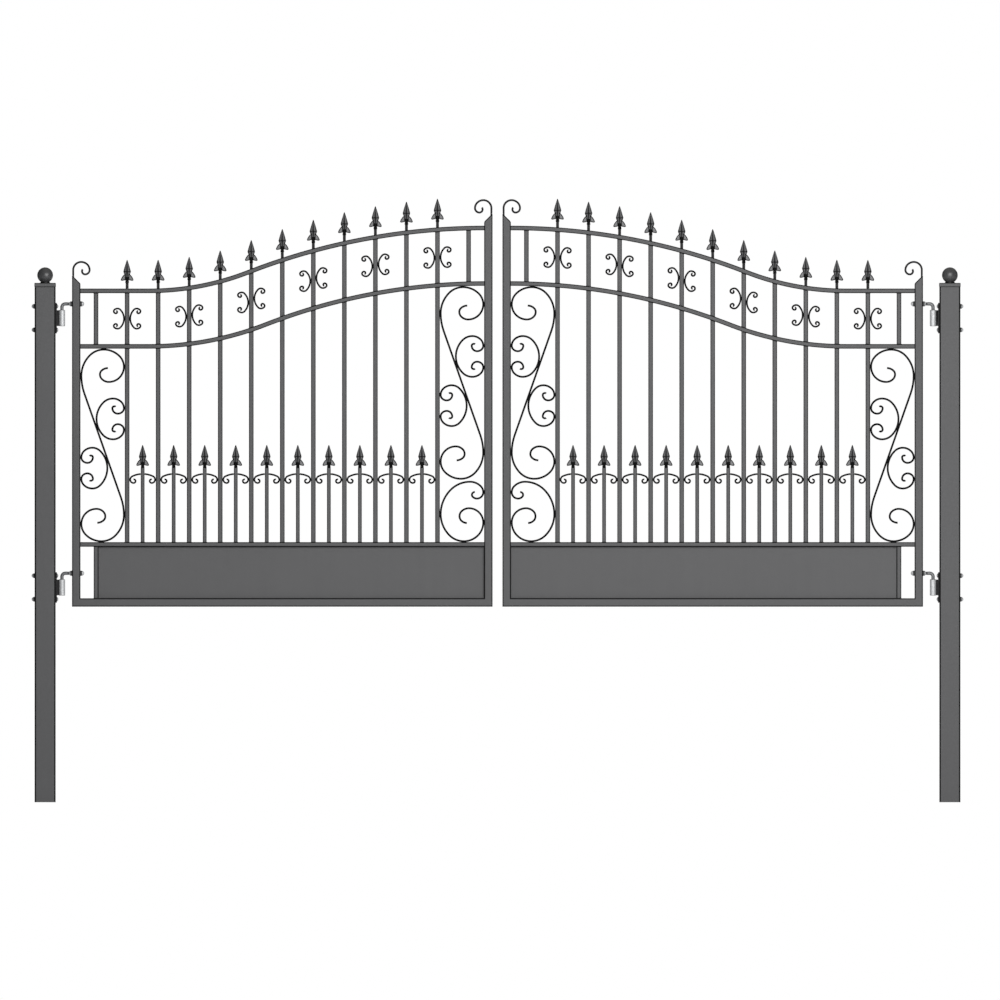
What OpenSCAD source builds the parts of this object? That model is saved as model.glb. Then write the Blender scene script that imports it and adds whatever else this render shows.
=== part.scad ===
// Arched double-leaf driveway gate on two square posts.
// Millimetres, +Z up. The origin is midway between the posts, level with their feet.
// Each leaf hangs on two L-shaped pins, which drop into barrels on the post.
// Leaf parts are drawn flat: x from the hinge stile's outer face towards the other leaf,
// y up from the post foot, z along the depth. left() and right() stand them up in place.

/* [Opening] */
// Width of one leaf over its stiles
leaf_w = 2000; // [1600:10:2500]
// Gap between the two meeting stiles
leaf_gap = 47; // [20:1:80]
// Gap between a hinge stile and its post
post_gap = 78; // [68:1:110]
// Height of a leaf's underside above the post foot
leaf_lift = 930; // [600:10:1200]

/* [Posts] */
// Side of the square post tube
post_side = 100; // [80:1:140]
// Wall of the post tube
post_wall = 4; // [3:0.5:6]
// Height of the post tube
post_h = 2450; // [2300:10:3200]
// Overhang of the cap past the post face
cap_over = 1; // [0.5:0.5:10]
// Height of the cap
cap_h = 20; // [12:1:40]
// Depth of the cap's spigot inside the post
spigot_h = 15; // [8:1:40]
// Diameter of the ball on the cap
ball_d = 75; // [50:1:95]
// Depth by which the ball sits in its foot
ball_flat = 6; // [4:0.5:10]
// Diameter of the round foot under the ball
ball_foot_d = 44; // [36:1:60]
// Height of the round foot under the ball
ball_foot_h = 5; // [2:0.5:20]

/* [Leaf frame] */
// Height of the leaf at its hinge stile, underside to top of the top rail
leaf_h = 1513; // [1300:1:1900]
// Rise of both arched rails from the hinge stile to the meeting stile
rise = 299; // [200:1:380]
// Level run of the arched rails beside the hinge stile, from the stile's outer face
level_run = 367; // [280:1:420]
// Radius of the hollow part of the top rail
top_hollow_r = 1300; // [900:10:1600]
// Radius of the hollow part of the band rail
band_hollow_r = 1530; // [900:10:1700]
// Drop from the top rail to the band rail, centre to centre
band_drop = 264; // [200:1:330]
// Side of the square stile tube
stile_w = 40; // [36:1:50]
// Height of the hinge stile's sloped top above the top rail, on its low side
stile_over = 24; // [10:1:60]
// Height of the meeting stile's sloped top above the top rail, on its low side
meeting_over = 19; // [10:1:60]
// Height of the bottom rail
bottom_rail_h = 40; // [30:1:60]
// Height of the mid rail and of both arched rails, seen from the front
rail_h = 22; // [16:1:30]
// Depth of the frame tubes, front to back
frame_d = 40; // [36:1:46]
// Wall of the frame tubes
tube_wall = 2; // [1.5:0.25:3]
// Height of the closed kick panel
kick_h = 245; // [150:1:400]
// Thickness of the kick panel's sheet
sheet = 2; // [1.5:0.5:5]

/* [Bars] */
// Side of the square main bars
bar = 22; // [14:1:26]
// Wall of the bar tubes
bar_wall = 1.5; // [1:0.25:3]
// Number of main bars in a leaf, an odd number
bars = 11; // [7:2:13]
// Clear width of the scroll panels beside the stiles
panel_w = 211; // [190:1:240]
// Distance of the end uprights' centres from the stile's outer face
upright_off = 114; // [80:1:150]
// Side of the square short bars
short_bar = 18; // [12:1:22]
// Height of the short bars above the mid rail
short_bar_h = 352; // [250:1:500]

/* [Spears] */
// Height of a spearhead with its socket
head_h = 110; // [80:1:130]
// Width of the blade
blade_w = 36; // [26:1:40]
// Thickness of the blade at its ridge
blade_t = 14; // [8:1:18]
// Width over the wings
wing_w = 61; // [44:1:66]
// Height of the square neck between the top rail and a spearhead
neck_h = 26; // [10:1:60]
// Side of the square neck
neck = 14; // [10:1:18]
// Side of the square socket at a spearhead's foot
socket = 18; // [14:1:22]

/* [Scrolls] */
// Thickness of the flat bar in the large scrolls
strip_t = 8; // [4:0.5:10]
// Thickness of the flat bar in the small scrolls
thin_t = 7; // [4:0.5:7.5]
// Depth of the flat bar in the scrolls
strip_d = 12; // [8:1:20]
// Height of the upper C-scroll's middle above the middle of its S-scroll
c_up = 126; // [100:1:150]
// Depth of the lower C-scroll's middle below the middle of its S-scroll
c_down = 108; // [90:1:150]
// Height of the base scroll
base_h = 291; // [260:1:300]
// Height at which the collar scrolls leave a short bar, above the mid rail
collar_up = 324; // [220:1:420]
// Gap left at a welded joint beside a curved or slanted face
weld_gap = 0.2; // [0.1:0.05:0.5]

/* [Hinges] */
// Distance of the pin's axis from the post face
pin_off = 30; // [27:1:34]
// Diameter of the hinge pin
pin_d = 16; // [12:1:18]
// Radial clearance of the pin in its barrel
pin_play = 0.08; // [0.02:0.01:0.1]
// Radius of the pin's bend, on its centreline
bend_r = 16; // [14:1:18]
// Outer diameter of the barrel
barrel_d = 30; // [24:1:34]
// Length of the barrel
barrel_h = 77; // [50:1:100]
// Thickness of the barrel's closed bottom
barrel_floor = 6; // [4:1:12]
// Height of the pin's arm above the barrel
arm_up = 29; // [26:1:45]
// Depth of the upper arm below the top of the top rail
upper_arm_down = 73; // [50:1:160]
// Height of the lower arm above the leaf's underside
lower_arm_up = 159; // [120:1:200]
// Height of the hinge plate
plate_h = 145; // [130:1:180]
// Width of the hinge plate
plate_w = 40; // [30:1:60]
// Thickness of the hinge plate
plate_t = 6; // [4:1:8]
// Distance between the plate's two bolts
bolt_spacing = 112; // [104:1:120]
// Diameter of the plate bolts
bolt_d = 12; // [10:1:14]

/* [Hidden] */
$fn = 64;

// Colours
coat = "dimgray";
zinc = "silver";

// Leaf heights, measured from the post foot
top_z = leaf_lift + leaf_h;
top_rail_z = top_z - rail_h / 2;
band_rail_z = top_rail_z - band_drop;
kick_low_z = leaf_lift + bottom_rail_h;
mid_low_z = kick_low_z + kick_h;
mid_top_z = mid_low_z + rail_h;

// The arched rails: a hollow arc and a crown arc that share a tangent and end level
arch_end = leaf_w - stile_w;
arch_run = arch_end - level_run;
arch_angle = 2 * atan(rise / arch_run);
arch_r_sum = arch_run / sin(arch_angle);

// Bars
first_bar_x = stile_w + panel_w + bar / 2;
bar_pitch = (leaf_w - 2 * first_bar_x) / (bars - 1);

// Posts and hinges
post_x = leaf_w + leaf_gap / 2 + post_gap + post_side / 2;
pin_x = pin_off - post_gap;
upper_arm_z = top_z - upper_arm_down;
lower_arm_z = leaf_lift + lower_arm_up;
arm_heights = [lower_arm_z, upper_arm_z];
barrel_mid_down = arm_up + barrel_h / 2;
rest_gap = 0.3;
hole_play = 0.25;
thread_play = 0.05;
web_t = 10;
web_inset = 1;

// Walls of the cap, its spigot and the hollow ball, the spigot's play, and the ball's vent
cap_wall = 2;
ball_wall = 3;
ball_vent_d = 20;
spigot_play = 0.5;

// Fasteners: across flats, height of the hexagon, full height
arm_nut = [24, 8, 18];
lock_nut = [24, 8, 16];
plate_nut = [22, 6, 14];
bolt_head_d = 22;
bolt_head_h = 7;
nut_cap_t = 6;
thread_end_gap = 1;
dome_inset = 0.6;

// A spearhead's levels as shares of its height, and the thickness of its wings
wing_t = 5;
blade_foot = 0.25;
blade_widest = 0.5;

// Half of the wings' outline: shares of the half width and of the head's height
wing_points = [
    [0.3, 0.13], [0.5, 0.112], [0.72, 0.1], [0.9, 0.1], [1, 0.135],
    [0.92, 0.2], [0.8, 0.264], [0.63, 0.33], [0.45, 0.378], [0.36, 0.42]
];

// ---------------------------------------------------------------- curves

// Height of an arched rail's centreline at x, for its level height z0 and its hollow radius
function arch_z(x, z0, hollow_r) =
    let (crown_r = arch_r_sum - hollow_r)
    let (turn_x = level_run + hollow_r * sin(arch_angle))
    x <= level_run ? z0
    : x <= turn_x ? z0 + hollow_r - sqrt(pow(hollow_r, 2) - pow(x - level_run, 2))
    : x <= arch_end ? z0 + rise - crown_r + sqrt(pow(crown_r, 2) - pow(arch_end - x, 2))
    : z0 + rise;

// Slope of the same centreline, as an angle
function arch_slope(x, hollow_r) =
    let (turn_x = level_run + hollow_r * sin(arch_angle))
    x <= level_run ? 0
    : x <= turn_x ? asin((x - level_run) / hollow_r)
    : x <= arch_end ? asin((arch_end - x) / (arch_r_sum - hollow_r))
    : 0;

// Heights of the rails' faces at x
function top_over(x) =
    arch_z(x, top_rail_z, top_hollow_r) + rail_h / 2 / cos(arch_slope(x, top_hollow_r));
function top_under(x) =
    arch_z(x, top_rail_z, top_hollow_r) - rail_h / 2 / cos(arch_slope(x, top_hollow_r));
function band_over(x) =
    arch_z(x, band_rail_z, band_hollow_r) + rail_h / 2 / cos(arch_slope(x, band_hollow_r));
function band_under(x) =
    arch_z(x, band_rail_z, band_hollow_r) - rail_h / 2 / cos(arch_slope(x, band_hollow_r));

function bar_x(i) = first_bar_x + i * bar_pitch;

// A strip's path is a list of [radius, angle] arcs, a positive angle turning right,
// and of [0, length] straights. Each state along it is [x, y, heading].
function step(at, piece) =
    let (r = piece[0], a = piece[1], h = at[2])
    r == 0
    ? [at[0] + a * cos(h), at[1] + a * sin(h), h]
    : a > 0
    ? [at[0] + r * (sin(h) - sin(h - a)), at[1] + r * (cos(h - a) - cos(h)), h - a]
    : [at[0] - r * (sin(h) - sin(h - a)), at[1] - r * (cos(h - a) - cos(h)), h - a];

// The path's pieces cut into equal steps, no longer and no wider in angle than these
function fine(path, max_angle, max_length) = [
    for (piece = path)
        let (turn = abs(piece[1]))
        let (n = piece[0] == 0 ? 1 : ceil(max(turn / max_angle, piece[0] * turn * PI / 180 / max_length)))
        each [for (k = [1:n]) piece[0] == 0 ? piece : [piece[0], piece[1] / n]]
];

function states(start, path) =
    [for (i = 0, at = start; i <= len(path); at = i < len(path) ? step(at, path[i]) : at, i = i + 1) at];

// Both edges of a bar of thickness t that follows the states
function outline(along, t) = concat(
    [for (at = along) [at[0] - t / 2 * sin(at[2]), at[1] + t / 2 * cos(at[2])]],
    [for (i = [len(along) - 1:-1:0]) let (at = along[i]) [at[0] + t / 2 * sin(at[2]), at[1] - t / 2 * cos(at[2])]]
);

// Two paths that leave one point back to back, as one run of states:
// the first is mirrored across the x axis, or turned half round the start
function mirrored_run(low, up) =
    concat([for (i = [len(low) - 1:-1:1]) [low[i][0], -low[i][1], 180 - low[i][2]]], up);
function turned_run(half) =
    concat([for (i = [len(half) - 1:-1:1]) [-half[i][0], -half[i][1], half[i][2]]], half);

function strip_states(start, path) = states(start, fine(path, 9, 40));

// A quarter turn as two arcs of 45 degrees: it goes ahead by p and sideways by q
function quarter(p, q) =
    let (c = cos(45), d = 1 - cos(45))
    [[(c * p - d * q) / (c - d), 45], [(c * q - d * p) / (c - d), 45]];

// A volute: a run of quarter turns that tightens towards its end
function volute(quarters) = [for (pq = quarters) each quarter(pq[0], pq[1])];

// ---------------------------------------------------------------- building blocks

// A flat bar of thickness t on edge that follows the states
module strip(along, t) {
    linear_extrude(strip_d, center = true)
    polygon(outline(along, t));
}

// An arched rail between the stiles: a tube of level, hollow and crown stretches
module arched_rail(z0, hollow_r) {
    arcs = [[hollow_r, -arch_angle], [arch_r_sum - hollow_r, arch_angle]];
    along = states([stile_w, z0, 0], fine(concat([[0, level_run - stile_w]], arcs), 9, 30));
    open_end = [[arch_end + 1, z0 + rise, 0]];
    difference() {
        linear_extrude(frame_d, center = true)
        polygon(outline(along, rail_h));
        linear_extrude(frame_d - 2 * tube_wall, center = true)
        polygon(outline(concat([[stile_w - 1, z0, 0]], along, open_end), rail_h - 2 * tube_wall));
    }
}

// An upright tube centred at x, with both ends mitred to the faces that it meets
module upright(x, w, low_left, low_right, high_left, high_right) {
    difference() {
        linear_extrude(w, center = true)
        polygon([
            [x - w / 2, low_left], [x + w / 2, low_right],
            [x + w / 2, high_right], [x - w / 2, high_left]
        ]);
        linear_extrude(w - 2 * bar_wall, center = true)
        translate([x - w / 2 + bar_wall, min(low_left, low_right) - 1])
        square([w - 2 * bar_wall, max(high_left, high_right) - min(low_left, low_right) + 2]);
    }
}

module band_upright(x) {
    l = x - bar / 2;
    r = x + bar / 2;
    upright(x, bar, band_over(l) + weld_gap, band_over(r) + weld_gap,
        top_under(l) - weld_gap, top_under(r) - weld_gap);
}

module lower_upright(x) {
    l = x - bar / 2;
    r = x + bar / 2;
    upright(x, bar, mid_top_z, mid_top_z, band_under(l) - weld_gap, band_under(r) - weld_gap);
}

// A hexagon nut with a domed top, its seat at z = 0
module dome_nut(size, bore_r, bore_h) {
    dome_r = size[0] / 2 - dome_inset;
    difference() {
        union() {
            cylinder(d = size[0] / cos(30), h = size[1], $fn = 6);
            intersection() {
                translate([0, 0, size[2] - dome_r])
                sphere(dome_r);
                translate([0, 0, 1])
                cylinder(r = 2 * dome_r, h = size[2]);
            }
        }
        translate([0, 0, -1])
        cylinder(r = bore_r, h = bore_h + 1);
    }
}

// A spearhead with its socket, the foot of the socket at z = 0
module spearhead() {
    foot_z = blade_foot * head_h;
    widest_z = blade_widest * head_h;
    rotate([90, 0, 0])
    linear_extrude(wing_t, center = true)
    polygon(concat(wing_side(1), wing_side(-1)));
    translate([0, 0, widest_z])
    scale([1, blade_t / blade_w, 1])
    cylinder(d1 = blade_w, d2 = 1, h = head_h - widest_z, $fn = 4);
    translate([0, 0, foot_z])
    scale([1, blade_t / blade_w, 1])
    cylinder(d1 = blade_w / 2, d2 = blade_w, h = widest_z - foot_z, $fn = 4);
    translate([-socket / 2, -socket / 2, 0])
    cube([socket, socket, foot_z + 4]);
}

// One side of the wings' outline, upwards on the right and downwards on the left
function wing_side(side) =
    let (n = len(wing_points))
    [for (i = [0:n - 1]) let (p = wing_points[side > 0 ? i : n - 1 - i]) [side * p[0] * wing_w / 2, p[1] * head_h]];

// A spear on the top rail at x, its neck mitred to the rail
module rail_spear(x) {
    foot_l = top_over(x - neck / 2) + weld_gap;
    foot_r = top_over(x + neck / 2) + weld_gap;
    head_z = top_over(x) + neck_h;
    linear_extrude(neck, center = true)
    polygon([[x - neck / 2, foot_l], [x + neck / 2, foot_r], [x + neck / 2, head_z], [x - neck / 2, head_z]]);
    translate([x, head_z, 0])
    rotate([-90, 0, 0])
    spearhead();
}

// ---------------------------------------------------------------- posts and hinges

module post() color(coat) {
    difference() {
        translate([-post_x - post_side / 2, -post_side / 2, 0])
        cube([post_side, post_side, post_h]);
        translate([-post_x - post_side / 2 + post_wall, -post_side / 2 + post_wall, -1])
        cube([post_side - 2 * post_wall, post_side - 2 * post_wall, post_h + 2]);
        for (z = bolt_heights())
            translate([-post_x - post_side, 0, z])
            rotate([0, 90, 0])
            cylinder(d = bolt_d + 2 * hole_play, h = 2 * post_side);
    }
}

function bolt_heights() =
    [for (arm = arm_heights, side = [-1, 1]) arm - barrel_mid_down + side * bolt_spacing / 2];

module post_caps() color(coat) {
    skirt = cap_over + cap_wall;
    outer = post_side + 2 * cap_over;
    spigot = post_side - 2 * (post_wall + spigot_play);
    hollow = spigot - 2 * cap_wall;
    both()
    translate([-post_x, 0, post_h]) {
        difference() {
            translate([-outer / 2, -outer / 2, 0])
            cube([outer, outer, cap_h]);
            translate([-outer / 2 + skirt, -outer / 2 + skirt, -1])
            cube([outer - 2 * skirt, outer - 2 * skirt, cap_h - cap_wall + 1]);
        }
        difference() {
            translate([-spigot / 2, -spigot / 2, -spigot_h])
            cube([spigot, spigot, spigot_h + cap_h - cap_wall]);
            translate([-hollow / 2, -hollow / 2, -spigot_h - 1])
            cube([hollow, hollow, spigot_h + cap_h]);
        }
    }
}

module ball_finials() color(coat) {
    ball_mid = ball_foot_h + ball_d / 2 - ball_flat;
    both()
    translate([-post_x, 0, post_h + cap_h])
    difference() {
        union() {
            translate([0, 0, ball_mid])
            sphere(d = ball_d);
            cylinder(d = ball_foot_d, h = ball_foot_h + 1);
        }
        translate([0, 0, ball_mid])
        sphere(d = ball_d - 2 * ball_wall);
        translate([0, 0, -1])
        cylinder(d = ball_vent_d, h = ball_mid);
        translate([-ball_d, -ball_d, -2 * ball_d])
        cube(2 * ball_d);
    }
}

// A plate on the post's inner face, with the web that carries the barrel
module hinge_plates() color(coat) {
    face_x = -post_x + post_side / 2;
    both()
    for (arm = arm_heights)
        translate([face_x, 0, arm - barrel_mid_down])
        difference() {
            union() {
                translate([0, -plate_w / 2, -plate_h / 2])
                cube([plate_t, plate_w, plate_h]);
                translate([0, -web_t / 2, -barrel_h / 2 + web_inset])
                cube([pin_off - barrel_d / 4, web_t, barrel_h - 2 * web_inset]);
            }
            for (side = [-1, 1])
                translate([-1, 0, side * bolt_spacing / 2])
                rotate([0, 90, 0])
                cylinder(d = bolt_d + 2 * hole_play, h = plate_t + 2);
            translate([pin_off, 0, -barrel_h])
            cylinder(d = barrel_d + 2 * weld_gap, h = 2 * barrel_h);
        }
}

module hinge_barrels() color(zinc) {
    both()
    for (arm = arm_heights)
        translate([-post_x + post_side / 2 + pin_off, 0, arm - arm_up - barrel_h])
        difference() {
            cylinder(d = barrel_d, h = barrel_h);
            translate([0, 0, barrel_floor])
            cylinder(r = pin_d / 2 + pin_play, h = barrel_h);
        }
}

// Round-headed bolts through the plate and the post
module plate_bolts() color(zinc) {
    head_x = -post_x + post_side / 2 + plate_t;
    shank = plate_t + post_side + plate_nut[2] - nut_cap_t - thread_end_gap;
    cap_r = (pow(bolt_head_d / 2, 2) + pow(bolt_head_h, 2)) / (2 * bolt_head_h);
    both()
    for (z = bolt_heights())
        translate([head_x, 0, z])
        rotate([0, 90, 0]) {
            translate([0, 0, -shank])
            cylinder(d = bolt_d, h = shank + 1);
            intersection() {
                translate([0, 0, bolt_head_h - cap_r])
                sphere(cap_r);
                cylinder(d = bolt_head_d, h = bolt_head_h + 1);
            }
        }
}

module plate_dome_nuts() color(zinc) {
    both()
    for (z = bolt_heights())
        translate([-post_x - post_side / 2, 0, z])
        rotate([0, -90, 0])
        dome_nut(plate_nut, bolt_d / 2 + thread_play, plate_nut[2] - nut_cap_t);
}

// ---------------------------------------------------------------- leaf frame

module stile(top_low_z, flip) {
    top_high_z = top_low_z + stile_w;
    place = flip ? leaf_w : 0;
    side = flip ? -1 : 1;
    inner_w = stile_w - tube_wall;
    translate([place, 0, 0])
    difference() {
        linear_extrude(frame_d, center = true)
        polygon([
            [0, leaf_lift], [side * stile_w, leaf_lift + bottom_rail_h],
            [side * stile_w, top_low_z], [0, top_high_z]
        ]);
        linear_extrude(frame_d - 2 * tube_wall, center = true)
        polygon([
            [side * tube_wall, leaf_lift - 1], [side * inner_w, leaf_lift - 1],
            [side * inner_w, top_low_z - tube_wall * tan(22.5)],
            [side * tube_wall, top_high_z - tube_wall * tan(67.5)]
        ]);
        if (!flip)
            for (arm = arm_heights)
                translate([-1, arm, 0])
                rotate([0, 90, 0])
                cylinder(d = pin_d + 2 * hole_play, h = stile_w + 2);
    }
}

module hinge_stile() color(coat) stile(top_z + stile_over, false);

module meeting_stile() color(coat) stile(top_z + rise + meeting_over, true);

module top_rail() color(coat) arched_rail(top_rail_z, top_hollow_r);

module band_rail() color(coat) arched_rail(band_rail_z, band_hollow_r);

module mid_rail() color(coat) {
    difference() {
        translate([stile_w, mid_low_z, -frame_d / 2])
        cube([leaf_w - 2 * stile_w, rail_h, frame_d]);
        translate([stile_w - 1, mid_low_z + tube_wall, -frame_d / 2 + tube_wall])
        cube([leaf_w - 2 * stile_w + 2, rail_h - 2 * tube_wall, frame_d - 2 * tube_wall]);
    }
}

module bottom_rail() color(coat) {
    difference() {
        linear_extrude(frame_d, center = true)
        polygon([
            [0, leaf_lift], [leaf_w, leaf_lift],
            [leaf_w - stile_w, kick_low_z], [stile_w, kick_low_z]
        ]);
        translate([-1, leaf_lift + tube_wall, -frame_d / 2 + tube_wall])
        cube([leaf_w + 2, bottom_rail_h - 2 * tube_wall, frame_d - 2 * tube_wall]);
    }
}

module panel_upright() color(coat) {
    upright(upright_off, bar, kick_low_z, kick_low_z, mid_low_z, mid_low_z);
}

module kick_panel() color(coat) {
    left_x = upright_off + bar / 2;
    translate([left_x, kick_low_z, -sheet / 2])
    cube([leaf_w - stile_w - left_x, kick_h, sheet]);
}

// A strip rolled into a curl, its foot cut to the sloped top of the hinge stile
module stile_scroll(over) {
    strip_x = strip_t / 2 + 1.5;
    foot = top_z + over + stile_w - strip_x - strip_t / 2;
    curl = concat(
        [[0, 34]],
        volute([[38, 38], [40, 38], [21, 21], [15, 15]]),
        [[14, 40]]
    );
    edges = outline(strip_states([strip_x, foot, 90], curl), strip_t);
    linear_extrude(strip_d, center = true)
    polygon([for (i = [0:len(edges) - 1]) i == 0 ? edges[0] + [0, strip_t] : edges[i]]);
}

module stile_scrolls() color(coat) {
    stile_scroll(stile_over);
    translate([leaf_w, rise, 0])
    mirror([1, 0, 0])
    stile_scroll(meeting_over);
}

// ---------------------------------------------------------------- bars and spears

module lower_bars() color(coat) {
    for (i = [0:bars - 1])
        lower_upright(bar_x(i));
}

module band_bars() color(coat) {
    for (i = [0:bars - 1])
        band_upright(bar_x(i));
}

module band_uprights() color(coat) {
    band_upright(upright_off);
    band_upright(leaf_w - upright_off);
}

module spears() color(coat) {
    for (i = [0:bars - 1])
        rail_spear(bar_x(i));
}

module short_bars() color(coat) {
    for (i = [0:bars - 2])
        upright(bar_x(i + 0.5), short_bar, mid_top_z, mid_top_z,
            mid_top_z + short_bar_h, mid_top_z + short_bar_h);
}

module short_spears() color(coat) {
    for (i = [0:bars - 2])
        translate([bar_x(i + 0.5), mid_top_z + short_bar_h, 0])
        rotate([-90, 0, 0])
        spearhead();
}

// ---------------------------------------------------------------- scrollwork

// Strips that branch from both sides of each short bar and curl in at the next main bar
module collar_scrolls() color(coat) {
    leave = -4;
    shoulder = -26;
    turn_r = 18;
    lean = thin_t / 2 * sin(-leave);
    clear = bar_pitch / 2 - short_bar / 2 - bar / 2 - 2 * weld_gap - thin_t / 2 - lean;
    arch_r = (clear - turn_r * (1 + sin(shoulder))) / (sin(leave) - sin(shoulder));
    path = [
        [arch_r, leave - shoulder], [turn_r, 90 + shoulder], [16, 90], [9.5, 90], [7.5, 110]
    ];
    for (i = [0:bars - 2], side = [1, -1])
        translate([bar_x(i + 0.5), 0, 0])
        mirror([side > 0 ? 0 : 1, 0, 0])
        strip(strip_states([short_bar / 2 + weld_gap + lean, mid_top_z + collar_up, leave], path), thin_t);
}

// C-scrolls back to back on both sides of every other bar, midway between the arched rails
module band_scrolls() color(coat) {
    half_h = 48;
    half_w = 31;
    curls = [[18, 13], [10, 10], [6.5, 6.5], [5, 5]];
    half = concat(quarter(half_h, half_w), volute(curls));
    for (i = [0:2:bars - 1], side = [1, -1]) {
        mid_x = bar_x(i) + side * (bar / 2 + half_w / 2);
        z = (top_under(mid_x) + band_over(mid_x)) / 2;
        translate([bar_x(i) + side * (bar / 2 + weld_gap + thin_t / 2), z, 0])
        mirror([side > 0 ? 0 : 1, 0, 0])
        c_strip(half, half, thin_t);
    }
}

// A C from its lower and upper halves, each drawn upwards from the middle of its back
module c_strip(low, up, t) {
    start = [0, 0, 90];
    strip(mirrored_run(strip_states(start, low), strip_states(start, up)), t);
}

// The large S-scroll: a straight diagonal between two flank arcs, and a volute at each end
s_volute = [[96, 82], [72, 72], [42, 36], [30, 38]];
s_flank = 125;
s_flank_r = 250;
s_w = panel_w - 2 * weld_gap - strip_t;
s_h = band_rail_z - rail_h / 2 - mid_top_z - 2 * weld_gap - strip_t;
s_drop = s_h - 2 * s_flank;
s_reach = sqrt(pow(s_w - 2 * s_flank_r, 2) + pow(s_drop, 2));
s_angle = asin(2 * s_flank_r / s_reach) + atan((s_w - 2 * s_flank_r) / s_drop);
s_straight = sqrt(pow(s_reach, 2) - pow(2 * s_flank_r, 2));

module s_scroll() {
    half = concat(
        [[0, s_straight / 2], [s_flank_r, s_angle]],
        quarter(s_flank, s_w - s_volute[0][0]),
        volute(s_volute)
    );
    strip(turned_run(strip_states([0, 0, 90 + s_angle], half)), strip_t);
}

// Centres of the two scroll panels, at the middle of their S-scrolls
s_mid_z = (band_rail_z - rail_h / 2 + mid_top_z) / 2;
hinge_panel = [stile_w + panel_w / 2, s_mid_z];
meeting_top_x = leaf_w - stile_w - s_volute[0][0] - strip_t;
meeting_panel = [
    leaf_w - stile_w - panel_w / 2,
    s_mid_z + band_under(meeting_top_x) - band_under(0)
];

module s_scrolls() color(coat) {
    for (mid = [hinge_panel, meeting_panel])
        translate([mid[0], mid[1], 0])
        s_scroll();
}

// A C-scroll in each bay of an S-scroll. It rests against the upright and the diagonal:
// its width follows from the height of its middle, because its back touches the diagonal.
c_half_h = 97;
c_shoulder = [52, 46];
c_widening = (1 - cos(45)) / (2 * cos(45) - 1);
c_back_r0 = quarter(c_half_h, -c_shoulder[0])[0][0];
function c_width(offset) =
    ((s_w / 2 + c_back_r0) * cos(s_angle) + offset * sin(s_angle) - c_back_r0 - strip_t - weld_gap)
    / ((1 + c_widening) * cos(s_angle) - c_widening);

module c_scroll(offset) {
    width = c_width(offset);
    half = concat(
        quarter(c_half_h, width - c_shoulder[0]),
        volute([c_shoulder, [26, 29], [26, 26], [9, 10]]),
        [[8, 45]]
    );
    translate([s_w / 2 - width, offset, 0])
    c_strip(half, half, strip_t);
}

module c_scrolls() color(coat) {
    for (mid = [hinge_panel, meeting_panel])
        translate([mid[0], mid[1], 0]) {
            c_scroll(c_up);
            rotate([0, 0, 180])
            c_scroll(c_down);
        }
}

// The scroll that fills the foot of the meeting panel: a small volute over a large one
module base_scroll() color(coat) {
    small = [[63, 50], [30, 30], [24, 18], [13, 14]];
    large = [[92, 89], [68, 68], [45, 38], [32, 35]];
    flank_z = 129;
    left_x = leaf_w - stile_w - panel_w + weld_gap + strip_t / 2;
    up = base_h - strip_t - flank_z;
    translate([left_x, mid_top_z + weld_gap + strip_t / 2 + flank_z, 0])
    c_strip(
        concat(quarter(flank_z, s_w - large[0][0]), volute(large)),
        concat(quarter(up, s_w - small[0][0]), volute(small)),
        strip_t
    );
}

// ---------------------------------------------------------------- hinge pins and nuts

// An L-shaped pin: a shank in the barrel, a bend and a threaded arm through the stile
module hinge_pins() color(zinc) {
    shank = arm_up + barrel_h - barrel_floor - rest_gap - bend_r;
    arm_end = stile_w + arm_nut[2] - nut_cap_t - thread_end_gap;
    for (arm = arm_heights) {
        translate([pin_x, arm - bend_r, 0])
        rotate([90, 0, 0])
        cylinder(d = pin_d, h = shank);
        translate([pin_x + bend_r, arm - bend_r, 0])
        rotate([0, 0, 90])
        rotate_extrude(angle = 90)
        translate([bend_r, 0])
        circle(d = pin_d);
        translate([pin_x + bend_r, arm, 0])
        rotate([0, 90, 0])
        cylinder(d = pin_d, h = arm_end - pin_x - bend_r);
    }
}

// Nuts on the arm at the stile's outer face
module lock_nuts() color(zinc) {
    for (arm = arm_heights)
        translate([0, arm, 0])
        rotate([0, -90, 0])
        dome_nut(lock_nut, pin_d / 2 + thread_play, lock_nut[2]);
}

// Dome nuts on the arm's end at the stile's inner face
module dome_nuts() color(zinc) {
    for (arm = arm_heights)
        translate([stile_w, arm, 0])
        rotate([0, 90, 0])
        dome_nut(arm_nut, pin_d / 2 + thread_play, arm_nut[2] - nut_cap_t);
}

// ---------------------------------------------------------------- placing

module left() translate([-leaf_w - leaf_gap / 2, 0, 0]) rotate([90, 0, 0]) children();

module right() mirror([1, 0, 0]) left() children();

module both() {
    children();
    mirror([1, 0, 0]) children();
}

post();  // left_post
mirror([1, 0, 0]) post();  // right_post
post_caps();
ball_finials();
hinge_plates();
hinge_barrels();
plate_bolts();
plate_dome_nuts();

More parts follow.
